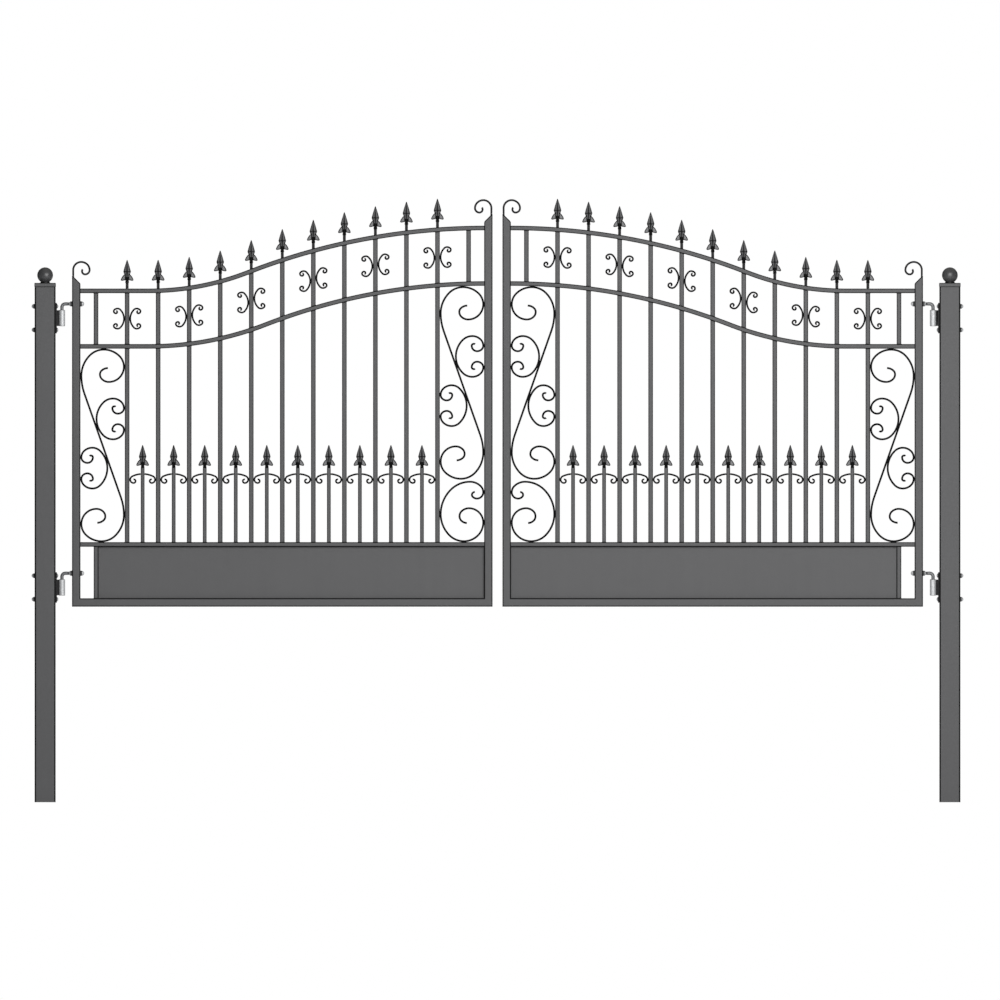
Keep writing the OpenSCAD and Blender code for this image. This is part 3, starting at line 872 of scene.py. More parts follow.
@dataclass
class Fastener:
    """A dome nut: a chamfered hexagon on a flange, under a dome; hexagon and flange are marked for painted
    shade round the dome.
    """

    across: float
    hex_h: float
    height: float
    flange: float = 1.6
    flange_over: float = 1.2
    corner_cut: float = 1.6
    edge_r: float = 0.5
    dome_in: float = 0.8
    arc_steps: int = 10
    steps: int = 36

    def build(self) -> BMesh:
        """The nut with its seat at z = 0.

        Returns:
            The nut's mesh.
        """
        bm = new_mesh()
        corner_r = self.across / 2 / math.cos(math.radians(30))
        bmesh.ops.create_circle(bm, cap_ends=True, segments=6, radius=corner_r)
        top = bmesh.ops.extrude_face_region(bm, geom=bm.faces[:])["geom"]
        verts = [v for v in top if isinstance(v, BMVert)]
        bmesh.ops.translate(bm, vec=Vector((0, 0, self.hex_h)), verts=verts)
        bmesh.ops.recalc_face_normals(bm, faces=bm.faces)
        bmesh.ops.bevel(
            bm, geom=verts, offset=self.corner_cut, affect="VERTICES", segments=2, profile=0.5, material=-1,
        )
        round_edges(bm, self.edge_r, any_edge, 2)
        # Painted shade: the whole hexagon is marked dark.
        mark(bm, bm.faces)
        r = self.across / 2
        washer = lathe([
            (0, 0), (r + self.flange_over, 0), (r + self.flange_over, self.flange * 0.6),
            (r + self.flange_over - self.edge_r, self.flange), (0, self.flange),
        ], self.steps)
        # Painted shade: the flange is marked dark.
        mark(washer, washer.faces)
        dome_r = r - self.dome_in
        top_z = self.height - dome_r
        arc = [
            (dome_r * math.cos(a), top_z + dome_r * math.sin(a))
            for a in (math.pi / 2 * k / self.arc_steps for k in range(self.arc_steps + 1))
        ]
        dome = lathe([(0, self.flange)] + [(dome_r, self.flange)] + arc, self.steps)
        for part in (washer, dome):
            stamp(bm, part, Matrix.Identity(4))
            part.free()
        return bm


@dataclass
class Hinges:
    """Plates, barrels, bolts and pins."""

    plate_edge: float = 1.5
    barrel_d: float = 30.0
    bore_d: float = 16.2
    barrel_steps: int = 56
    chamfer: float = 1.6
    bore_edge: float = 0.8
    bore_shown: float = 14.0
    head_d: float = 22.0
    head_h: float = 7.0
    head_shade_share: float = 0.35
    bolt_d: float = 12.0
    bolt_end: float = 1.0
    bolt_steps: int = 36
    crown_steps: int = 10
    pin_d: float = 16.0
    bend_r: float = 16.0
    pin_turn_step: float = 7.5
    thread_pitch: float = 2.0
    thread_depth: float = 1.1
    threads: int = 6
    lock_h: float = 16.0
    arm_nut: Fastener = field(default_factory=lambda: Fastener(24, 8, 18))
    lock_nut: Fastener = field(default_factory=lambda: Fastener(24, 8, 16))
    plate_nut: Fastener = field(default_factory=lambda: Fastener(22, 6, 14))

    def build(self, shop: Shop) -> None:
        """Builds and dresses all hinge parts.

        Args:
            shop: Makes the pieces.
        """
        zinc = shop.palette.zinc
        bm = merged_copy("hinge_plates")
        round_edges(bm, self.plate_edge, any_edge, 2)
        shop.piece(bm, "hinge_plates_rounded", "posts", ["hinge_plates"], shop.palette.plate)
        shop.piece(self.barrels(), "hinge_barrels_turned", "posts", ["hinge_barrels"], zinc)
        shop.piece(self.bolts(), "plate_bolts_turned", "posts", ["plate_bolts"], zinc)
        nuts = self.nuts("plate_dome_nuts", self.plate_nut, seat_inside=True)
        shop.piece(nuts, "plate_dome_nuts_turned", "posts", ["plate_dome_nuts"], zinc)
        for side in Side:
            pins = side.node("hinge_pins")
            shop.piece(self.pins(side), f"{pins}_bent", side.body, [pins], shop.palette.pin_zinc)
            lock = self.nuts(side.node("lock_nuts"), self.lock_nut, seat_inside=True)
            shop.piece(lock, side.node("lock_nuts_turned"), side.body, [side.node("lock_nuts")], zinc)
            dome = self.nuts(side.node("dome_nuts"), self.arm_nut, seat_inside=False)
            shop.piece(dome, side.node("dome_nuts_turned"), side.body, [side.node("dome_nuts")], zinc)

    def nuts(self, node: str, nut: Fastener, seat_inside: bool) -> BMesh:
        """Nuts in the places of a node's solids.

        Args:
            node: The node whose places are taken.
            nut: The kind of nut.
            seat_inside: Whether the seats face the opening's middle, so that the domes point away from it.

        Returns:
            The nuts' mesh.
        """
        bm = new_mesh()
        part = nut.build()
        for solid in solids(node):
            outward = math.copysign(1, solid.centre.x) * (1 if seat_inside else -1)
            seat = solid.low.x if outward > 0 else solid.high.x
            turn = Matrix.Rotation(outward * math.pi / 2, 4, "Y")
            stamp(bm, part, Matrix.Translation((seat, 0, solid.centre.z)) @ turn)
        part.free()
        return bm

    def barrels(self) -> BMesh:
        """Barrels with chamfered rims, marked for painted shade, and a bore that shows at the top.

        Returns:
            The barrels' mesh.
        """
        bm = new_mesh()
        r, bore = self.barrel_d / 2, self.bore_d / 2
        for solid in solids("hinge_barrels"):
            h = solid.size.z
            part = lathe([
                (0, 0), (r - self.chamfer, 0), (r, self.chamfer), (r, h - self.chamfer),
                (r - self.chamfer, h), (bore + self.bore_edge, h), (bore, h - self.bore_edge),
                (bore, h - self.bore_shown), (0, h - self.bore_shown),
            ], self.barrel_steps)
            # Painted shade on the chamfered rims and the top.
            shaded_rims = (f for f in part.faces if not self.chamfer < f.calc_center_median().z < h - self.chamfer)
            mark(part, shaded_rims)
            stamp(bm, part, Matrix.Translation((solid.centre.x, 0, solid.low.z)))
            part.free()
        return bm

    def bolts(self) -> BMesh:
        """Round-headed bolts with their shanks, marked dark under the head for painted shade.

        Returns:
            The bolts' mesh.
        """
        bm = new_mesh()
        half = self.head_d / 2
        cap_r = (half ** 2 + self.head_h ** 2) / (2 * self.head_h)
        sweep = math.asin(half / cap_r)
        crown = [
            (cap_r * math.sin(a), self.head_h - cap_r + cap_r * math.cos(a))
            for a in (sweep * k / self.crown_steps for k in range(self.crown_steps, -1, -1))
        ]
        for solid in solids("plate_bolts"):
            length = solid.size.x - self.head_h
            shank = self.bolt_d / 2
            end = self.bolt_end
            shaft = [(0, -length), (shank - end, -length), (shank, end - length), (shank, 0), (half, 0)]
            part = lathe(shaft + crown, self.bolt_steps)
            # Painted shade under the head and on the shank.
            mark(part, (f for f in part.faces if f.calc_center_median().z < self.head_shade_share * self.head_h))
            inward = -math.copysign(1, solid.centre.x)
            seat = (solid.high.x if inward > 0 else solid.low.x) - inward * self.head_h
            turn = Matrix.Rotation(inward * math.pi / 2, 4, "Y")
            stamp(bm, part, Matrix.Translation((seat, 0, solid.centre.z)) @ turn)
            part.free()
        return bm

    def pins(self, side: Side) -> BMesh:
        """L-shaped pins: a shank, a bend and an arm with its thread.

        Args:
            side: The leaf that the pins belong to.

        Returns:
            The pins' mesh.
        """
        bm = new_mesh()
        inward = 1 if side is Side.LEFT else -1
        round_bar = Bar(self.pin_d, 0, 0, self.pin_turn_step)
        for solid in solids(side.node("hinge_pins")):
            low, high = solid.low, solid.high
            pin_x = (low.x + self.pin_d / 2) if inward > 0 else (high.x - self.pin_d / 2)
            arm_z = high.z - self.pin_d / 2
            shank = arm_z - self.bend_r - low.z
            stile_x = TO_MM * (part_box(side.node("hinge_stile"))[0 if inward > 0 else 1]).x
            reach = abs(stile_x - pin_x) - self.bend_r - self.lock_h
            plain = reach - self.threads * self.thread_pitch * 0.5
            arm = solid.size.x - self.pin_d / 2 - self.bend_r
            start = BarEnd(0, -shank - self.bend_r, 90)
            part = round_bar.bend(start, [(0, shank), (self.bend_r, 90), (0, plain)])
            self.cut_thread(part, self.bend_r + plain, arm - plain)
            place = Matrix.Translation((pin_x, 0, arm_z)) @ Matrix.Diagonal((inward, 1, 1, 1))
            stamp(bm, part, place)
            part.free()
        return bm

    def cut_thread(self, bm: BMesh, x: float, length: float) -> None:
        """Lengthens an arm from its end face at x, with thread ribs and then a plain core.

        Args:
            bm: The pin, its arm along X.
            x: Where the arm ends so far.
            length: How much longer it gets.
        """
        face = max(bm.faces, key=lambda f: f.calc_center_median().x)
        geom = [face] + list(face.edges) + list(face.verts)
        root = 1 - 2 * self.thread_depth / self.pin_d
        levels = [(0.5, root), (0.5, 1 / root)] * (2 * self.threads)
        for share, size in levels + [(0, 1)]:
            ahead = share * self.thread_pitch if share else length - 2 * self.threads * self.thread_pitch
            geom = bmesh.ops.extrude_face_region(bm, geom=geom)["geom"]
            verts = [v for v in geom if isinstance(v, BMVert)]
            bmesh.ops.translate(bm, vec=Vector((ahead, 0, 0)), verts=verts)
            centre = Matrix.Translation((-verts[0].co.x, 0, 0))
            bmesh.ops.scale(bm, vec=Vector((1, size, size)), verts=verts, space=centre)


@dataclass
class LeafFrame:
    """A leaf's tubes, bars and sheet."""

    # Corner radii; the rounded faces carry painted edge shade, so these also set its width.
    stile_corner: float = 5.0
    rail_corner: float = 4.2
    bar_corner: float = 3.8
    short_corner: float = 3.4
    sheet_corner: float = 0.5

    def build(self, shop: Shop, side: Side) -> None:
        """Builds and dresses one leaf's straight and arched parts.

        Args:
            shop: Makes the pieces.
            side: The leaf.
        """
        rules = {
            "hinge_stile": (self.stile_corner, along_stile),
            "meeting_stile": (self.stile_corner, along_stile),
            "top_rail": (self.rail_corner, along_rail),
            "band_rail": (self.rail_corner, along_rail),
            "mid_rail": (self.rail_corner, along_rail),
            "bottom_rail": (self.stile_corner, along_rail),
            "lower_bars": (self.bar_corner, along_upright),
            "band_bars": (self.bar_corner, along_upright),
            "band_uprights": (self.bar_corner, along_upright),
            "panel_upright": (self.bar_corner, along_upright),
            "short_bars": (self.short_corner, along_upright),
        }
        for name, (corner, chosen) in rules.items():
            shop.rounded(side.node(name), side.body, corner, chosen, shop.palette.frame)
        shop.rounded(side.node("kick_panel"), side.body, self.sheet_corner, any_edge, shop.palette.sheet)


@dataclass
class Spears:
    """Cast spearheads: a ridged blade, two wings and a square socket, some on a square neck.

    The points carry the painted edge shade, so that ridges and rims are painted dark as shade and the
    hollows between them stay light as a painted highlight.
    """

    head_h: float = 110.0
    wing_w: float = 61.0
    wing_t: float = 5.0
    rim: float = 3.4
    rim_slope: float = 1.0
    socket: float = 18.0
    socket_h: float = 29.0
    socket_taper: float = 0.72
    socket_corner: float = 2.0
    neck: float = 14.0
    neck_corner: float = 1.4
    neck_shade_share: float = 0.75
    hollow: float = 0.62
    wing_sunk: float = 0.7
    wing: tuple = (
        (0.22, 0.13), (0.5, 0.112), (0.72, 0.1), (0.9, 0.1), (1, 0.135),
        (0.92, 0.2), (0.8, 0.264), (0.63, 0.33), (0.45, 0.378), (0.22, 0.42),
    )
    blade: tuple = (
        (0.2, 15, 12), (0.25, 18, 12.5), (0.38, 27, 13.2), (0.46, 33.5, 13.8), (0.5, 36, 14),
        (0.53, 34.2, 13.4), (0.7, 24, 10), (0.88, 11.6, 6), (0.97, 5.2, 3.4), (1.0, 1.6, 1.4),
    )
    # Levels painted dark as shade: the widest ring and every level above the tip's start.
    shade_ring_level: float = 0.5
    shade_tip_from: float = 0.9

    def head(self) -> BMesh:
        """A spearhead with the foot of its socket at z = 0.

        Returns:
            The head's mesh.
        """
        bm = bmesh.new()
        bm.verts.layers.float.new(EDGE_SHADE_MARK)
        for part in (self.blade_mesh(), self.wings_mesh(), self.socket_mesh()):
            stamp(bm, part, Matrix.Identity(4))
            part.free()
        return bm

    def blade_mesh(self) -> BMesh:
        """The blade: a four-pointed section with hollow sides, pulled up through its levels.

        Returns:
            The blade's mesh.
        """
        bm = bmesh.new()
        share = bm.verts.layers.float.new(EDGE_SHADE_MARK)
        bmesh.ops.create_circle(bm, cap_ends=True, segments=8, radius=1)
        for vert in bm.verts:
            if min(abs(vert.co.x), abs(vert.co.y)) > 0.1:
                vert.co *= self.hollow
            else:
                # Painted shade on the four ridges.
                vert[share] = 1.0
        geom = bm.faces[:] + bm.edges[:] + bm.verts[:]
        level, width, thick = self.blade[0]
        bmesh.ops.scale(bm, vec=Vector((width / 2, thick / 2, 1)), verts=bm.verts)
        bmesh.ops.translate(bm, vec=Vector((0, 0, level * self.head_h)), verts=bm.verts)
        for below, above in zip(self.blade, self.blade[1:]):
            geom = bmesh.ops.extrude_face_region(bm, geom=geom)["geom"]
            verts = [v for v in geom if isinstance(v, BMVert)]
            bmesh.ops.translate(bm, vec=Vector((0, 0, (above[0] - below[0]) * self.head_h)), verts=verts)
            bmesh.ops.scale(bm, vec=Vector((above[1] / below[1], above[2] / below[2], 1)), verts=verts)
            # Painted shade: the widest ring, the tip and the ridges are marked dark.
            dark = above[0] == self.shade_ring_level or above[0] > self.shade_tip_from
            for vert in verts:
                on_ridge = min(abs(vert.co.x) / above[1], abs(vert.co.y) / above[2]) < 0.05
                vert[share] = 1.0 if dark or on_ridge else 0.0
        bmesh.ops.recalc_face_normals(bm, faces=bm.faces)
        return bm

    def wings_mesh(self) -> BMesh:
        """Both wings, cut from a plate, with a sunk field inside a rim of painted shade.

        Returns:
            The wings' mesh.
        """
        bm = bmesh.new()
        share = bm.verts.layers.float.new(EDGE_SHADE_MARK)
        for side in (1, -1):
            verts = [
                bm.verts.new((side * a * self.wing_w / 2, -self.wing_t / 2, b * self.head_h))
                for a, b in self.wing
            ]
            bm.faces.new(verts)
        made = bmesh.ops.extrude_face_region(bm, geom=bm.faces[:])["geom"]
        verts = [v for v in made if isinstance(v, BMVert)]
        bmesh.ops.translate(bm, vec=Vector((0, self.wing_t, 0)), verts=verts)
        bmesh.ops.recalc_face_normals(bm, faces=bm.faces)
        # Painted shade: every point is marked dark, then the sunk fields are cleared.
        for vert in bm.verts:
            vert[share] = 1.0
        flats = [f for f in bm.faces if abs(f.normal.y) > 0.9]
        for thickness in (self.rim, self.rim_slope):
            bmesh.ops.inset_region(
                bm, faces=flats, thickness=thickness, depth=0, use_even_offset=True, use_boundary=True,
            )
        for face in flats:
            for vert in face.verts:
                vert[share] = 0.0
                vert.co.y *= self.wing_sunk
        return bm

    def socket_mesh(self) -> BMesh:
        """The square socket, which tapers into the blade's foot, marked all over for painted shade.

        Returns:
            The socket's mesh.
        """
        bm = bmesh.new()
        share = bm.verts.layers.float.new(EDGE_SHADE_MARK)
        bmesh.ops.create_cube(bm, size=1)
        top = [v for v in bm.verts if v.co.z > 0]
        bmesh.ops.scale(bm, vec=Vector((self.socket, self.socket, self.socket_h)), verts=bm.verts)
        bmesh.ops.translate(bm, vec=Vector((0, 0, self.socket_h / 2)), verts=bm.verts)
        bmesh.ops.scale(bm, vec=Vector((self.socket_taper, self.socket_taper, 1)), verts=top)
        bmesh.ops.bevel(
            bm, geom=bm.edges[:], offset=self.socket_corner, offset_type="OFFSET", affect="EDGES",
            segments=2, profile=0.5, material=-1, clamp_overlap=True,
        )
        # Painted shade: the whole socket is marked dark.
        for vert in bm.verts:
            vert[share] = 1.0
        return bm

    def build(self, shop: Shop, side: Side) -> None:
        """Builds the spears of the top rail and of the short bars.

        Args:
            shop: Makes the pieces.
            side: The leaf.
        """
        head = self.head()
        for name, has_neck in (("spears", True), ("short_spears", False)):
            node = side.node(name)
            bm = bmesh.new()
            bm.verts.layers.float.new(EDGE_SHADE_MARK)
            for solid in solids(node):
                foot = solid.high.z - self.head_h
                stamp(bm, head, Matrix.Translation((solid.centre.x, 0, foot)))
                if has_neck:
                    self.add_neck(bm, solid, foot)
            shop.piece(bm, f"{node}_cast", side.body, [node], shop.palette.cast)
        head.free()

    def add_neck(self, bm: BMesh, solid: Solid, foot: float) -> None:
        """Adds the square neck from the rail up to a head's foot.

        Args:
            bm: The mesh that takes the neck.
            solid: The spear's solid.
            foot: Height of the head's foot.
        """
        neck = bmesh.new()
        share = neck.verts.layers.float.new(EDGE_SHADE_MARK)
        bmesh.ops.create_cube(neck, size=1)
        height = foot + 1 - solid.low.z
        bmesh.ops.scale(neck, vec=Vector((self.neck, self.neck, height)), verts=neck.verts)
        upright = [e for e in neck.edges if abs(e.verts[0].co.z - e.verts[1].co.z) > 1]
        made = bmesh.ops.bevel(
            neck, geom=upright, offset=self.neck_corner, offset_type="OFFSET", affect="EDGES",
            segments=2, profile=0.5, material=-1,
        )
        # Painted shade on the neck's rounded corners.
        for face in made["faces"]:
            for vert in face.verts:
                vert[share] = self.neck_shade_share
        stamp(bm, neck, Matrix.Translation((solid.centre.x, 0, solid.low.z + height / 2)))
        neck.free()


@dataclass
class Scrollwork:
    """Every scroll of a leaf, bent from one flat bar. The right leaf's are mirror images."""

    thickness: float = 8.0
    thin: float = 7.0
    depth: float = 12.0
    swell: float = 1.4
    large_corner: float = 1.2
    small_corner: float = 1.1
    large_step: float = 5.0
    small_step: float = 9.0
    s_flank: float = 125.0
    s_flank_r: float = 250.0
    s_volute: tuple = ((96, 82), (72, 72), (42, 36), (30, 38))
    c_shoulder: tuple = (52, 46)
    c_volute: tuple = ((52, 46), (26, 29), (26, 26), (9, 10))
    c_tail: tuple = (8, 45)
    base_flank: float = 129.0
    base_small: tuple = ((63, 50), (30, 30), (24, 18), (13, 14))
    base_large: tuple = ((92, 89), (68, 68), (45, 38), (32, 35))
    band_volute: tuple = ((18, 13), (10, 10), (6.5, 6.5), (5, 5))
    collar_leave: float = -4.0
    collar_shoulder: float = -26.0
    collar_turns: tuple = ((18, 64), (16, 90), (9.5, 90), (7.5, 110))
    stile_lead: float = 34.0
    stile_volute: tuple = ((38, 38), (40, 38), (21, 21), (15, 15))
    stile_tail: tuple = (14, 40)

    @property
    def large(self) -> Bar:
        """The bar of the large scrolls."""
        return Bar(self.thickness, self.depth, self.large_corner, self.large_step, self.swell)

    @property
    def small(self) -> Bar:
        """The bar of the small scrolls."""
        return Bar(self.thin, self.depth, self.small_corner, self.small_step, self.swell)

    def s_scroll(self, solid: Solid) -> BMesh:
        """The S-scroll that fills a solid's box.

        Args:
            solid: The solid in the frame.

        Returns:
            The scroll's mesh.
        """
        w = solid.size.x - self.thickness
        drop = solid.size.z - self.thickness - 2 * self.s_flank
        r = self.s_flank_r
        reach = math.hypot(w - 2 * r, drop)
        angle = math.degrees(math.asin(2 * r / reach) + math.atan((w - 2 * r) / drop))
        straight = math.sqrt(reach ** 2 - (2 * r) ** 2)
        half = [(0, straight / 2), (r, angle)]
        half += quarter(self.s_flank, w - self.s_volute[0][0]) + volute(self.s_volute)
        middle = BarEnd(solid.centre.x, solid.centre.z, 90 + angle)
        return self.large.bend_turned(middle, half)

    def c_scroll(
        self, solid: Solid, half_h: float, bar: Bar, volute_of: Sequence, tail: Sequence[Bend],
    ) -> BMesh:
        """A C-scroll in a solid's box, its back on the left.

        Args:
            solid: The solid in the frame.
            half_h: Half of the scroll's height between the bar's centre lines.
            bar: The bar that it is bent from.
            volute_of: The quarter turns of each end.
            tail: Bends after the last quarter turn.

        Returns:
            The scroll's mesh.
        """
        w = solid.size.x - bar.thickness
        lead = quarter(half_h, w - volute_of[0][0])
        half = lead + volute(volute_of) + list(tail)
        back = BarEnd(solid.low.x + bar.thickness / 2, solid.centre.z, 90)
        return bar.bend_both_ways(back, half, half)

    def mirrored_c(self, solid: Solid, *shape: object) -> BMesh:
        """The same C-scroll with its back on the right.

        Args:
            solid: The solid in the frame.
            shape: What c_scroll takes after the solid.

        Returns:
            The scroll's mesh.
        """
        bm = self.c_scroll(solid, *shape)
        flip_x(bm, solid.centre.x)
        return bm

    def panel_scrolls(self, side: Side) -> dict[str, BMesh]:
        """The S, C and base scrolls of one leaf, built as on the left leaf.

        Args:
            side: The leaf.

        Returns:
            The three meshes by the names of their nodes.
        """
        s_solids = left_solids(side, "s_scrolls")
        made = {"s_scrolls": new_mesh(), "c_scrolls": new_mesh(), "base_scroll": new_mesh()}
        for solid in s_solids:
            add(made["s_scrolls"], self.s_scroll(solid))
        for solid in left_solids(side, "c_scrolls"):
            middle = min(s_solids, key=lambda s: abs(s.centre.x - solid.centre.x)).centre
            shape = (
                (solid.size.z - self.thickness) / 2, self.large, self.c_volute, [self.c_tail],
            )
            on_right = solid.centre.x > middle.x
            build = self.c_scroll if on_right else self.mirrored_c
            add(made["c_scrolls"], build(solid, *shape))
        solid = left_solids(side, "base_scroll")[0]
        w = solid.size.x - self.thickness
        rise = solid.size.z - self.thickness - self.base_flank
        half = self.thickness / 2
        back = BarEnd(solid.low.x + half, solid.low.z + half + self.base_flank, 90)
        add(made["base_scroll"], self.large.bend_both_ways(
            back,
            quarter(self.base_flank, w - self.base_large[0][0]) + volute(self.base_large),
            quarter(rise, w - self.base_small[0][0]) + volute(self.base_small),
        ))
        return made

    def band_scrolls(self, side: Side) -> BMesh:
        """The pairs of small C-scrolls in the band.

        Args:
            side: The leaf.

        Returns:
            The scrolls' mesh, as on the left leaf.
        """
        bars = left_solids(side, "band_bars")
        bm = new_mesh()
        for solid in left_solids(side, "band_scrolls"):
            bar = min(bars, key=lambda b: abs(b.centre.x - solid.centre.x))
            shape = ((solid.size.z - self.thin) / 2, self.small, self.band_volute, [])
            build = self.c_scroll if solid.centre.x > bar.centre.x else self.mirrored_c
            add(bm, build(solid, *shape))
        return bm

    def collar_scrolls(self, side: Side) -> BMesh:
        """The curls that branch from both sides of the short bars.

        Args:
            side: The leaf.

        Returns:
            The curls' mesh, as on the left leaf.
        """
        bars = left_solids(side, "short_bars")
        bm = new_mesh()
        for solid in left_solids(side, "collar_scrolls"):
            bar = min(bars, key=lambda b: abs(b.centre.x - solid.centre.x))
            turn_r = self.collar_turns[0][0]
            lean = self.thin / 2 * math.sin(math.radians(-self.collar_leave))
            clear = solid.size.x - self.thin / 2 - lean
            leave = math.sin(math.radians(self.collar_leave))
            shoulder = math.sin(math.radians(self.collar_shoulder))
            arch_r = (clear - turn_r * (1 + shoulder)) / (leave - shoulder)
            path = [(arch_r, self.collar_leave - self.collar_shoulder)] + list(self.collar_turns)
            start = BarEnd(solid.low.x + lean, solid.high.z - self.thin / 2, self.collar_leave)
            part = self.small.bend(start, path)
            if solid.centre.x < bar.centre.x:
                flip_x(part, solid.centre.x)
            add(bm, part)
        return bm

    def stile_scrolls(self, side: Side) -> BMesh:
        """The curls on the stiles' tops.

        Args:
            side: The leaf.

        Returns:
            The curls' mesh, as on the left leaf.
        """
        bm = new_mesh()
        path = [(0, self.stile_lead)] + volute(self.stile_volute) + [self.stile_tail]
        for number, solid in enumerate(left_solids(side, "stile_scrolls")):
            foot_x = solid.low.x + self.thickness / 2
            if number == 1:
                foot_x = solid.high.x - self.thickness / 2
            part = self.large.bend(BarEnd(foot_x, solid.low.z, 90), path)
            for vert in part.verts:
                if vert.co.z < solid.low.z + 0.1:
                    vert.co.z += foot_x + self.thickness / 2 - vert.co.x
            if number == 1:
                flip_x(part, foot_x)
            add(bm, part)
        return bm

    def build(self, shop: Shop, side: Side) -> None:
        """Builds and dresses all scrolls of one leaf.

        Args:
            shop: Makes the pieces.
            side: The leaf.
        """
        made = self.panel_scrolls(side)
        made["band_scrolls"] = self.band_scrolls(side)
        made["collar_scrolls"] = self.collar_scrolls(side)
        made["stile_scrolls"] = self.stile_scrolls(side)
        for name, bm in made.items():
            if side is Side.RIGHT:
                flip_x(bm, 0.0)
            node = side.node(name)
            finish = shop.palette.curl if name == "stile_scrolls" else shop.palette.forged
            shop.piece(bm, f"{node}_bent", side.body, [node], finish)


def add(target: BMesh, part: BMesh) -> None:
    """Moves a part into a mesh and frees it.

    Args:
        target: The mesh that takes the part.
        part: The part, which can't be used afterwards.
    """
    stamp(target, part, Matrix.Identity(4))
    part.free()


def flip_x(bm: BMesh, centre: float) -> None:
    """Mirrors a mesh left to right about a plane.

    Args:
        bm: The mesh.
        centre: Where the plane lies on the X axis.
    """
    bmesh.ops.scale(bm, vec=Vector((-1, 1, 1)), verts=bm.verts, space=Matrix.Translation((-centre, 0, 0)))
    bmesh.ops.reverse_faces(bm, faces=bm.faces)


def left_solids(side: Side, name: str) -> list[Solid]:
    """A leaf's solids as if it were the left leaf.

    Args:
        side: The leaf.
        name: The node's name without its side.

    Returns:
        The solids, mirrored if the leaf is the right one.
    """
    found = solids(side.node(name))
    if side is Side.LEFT:
        return found
    turned = [Solid(tuple(Vector((-p.x, p.y, p.z)) for p in s.points)) for s in found]
    return sorted(turned, key=lambda s: (round(s.centre.x), s.centre.z))


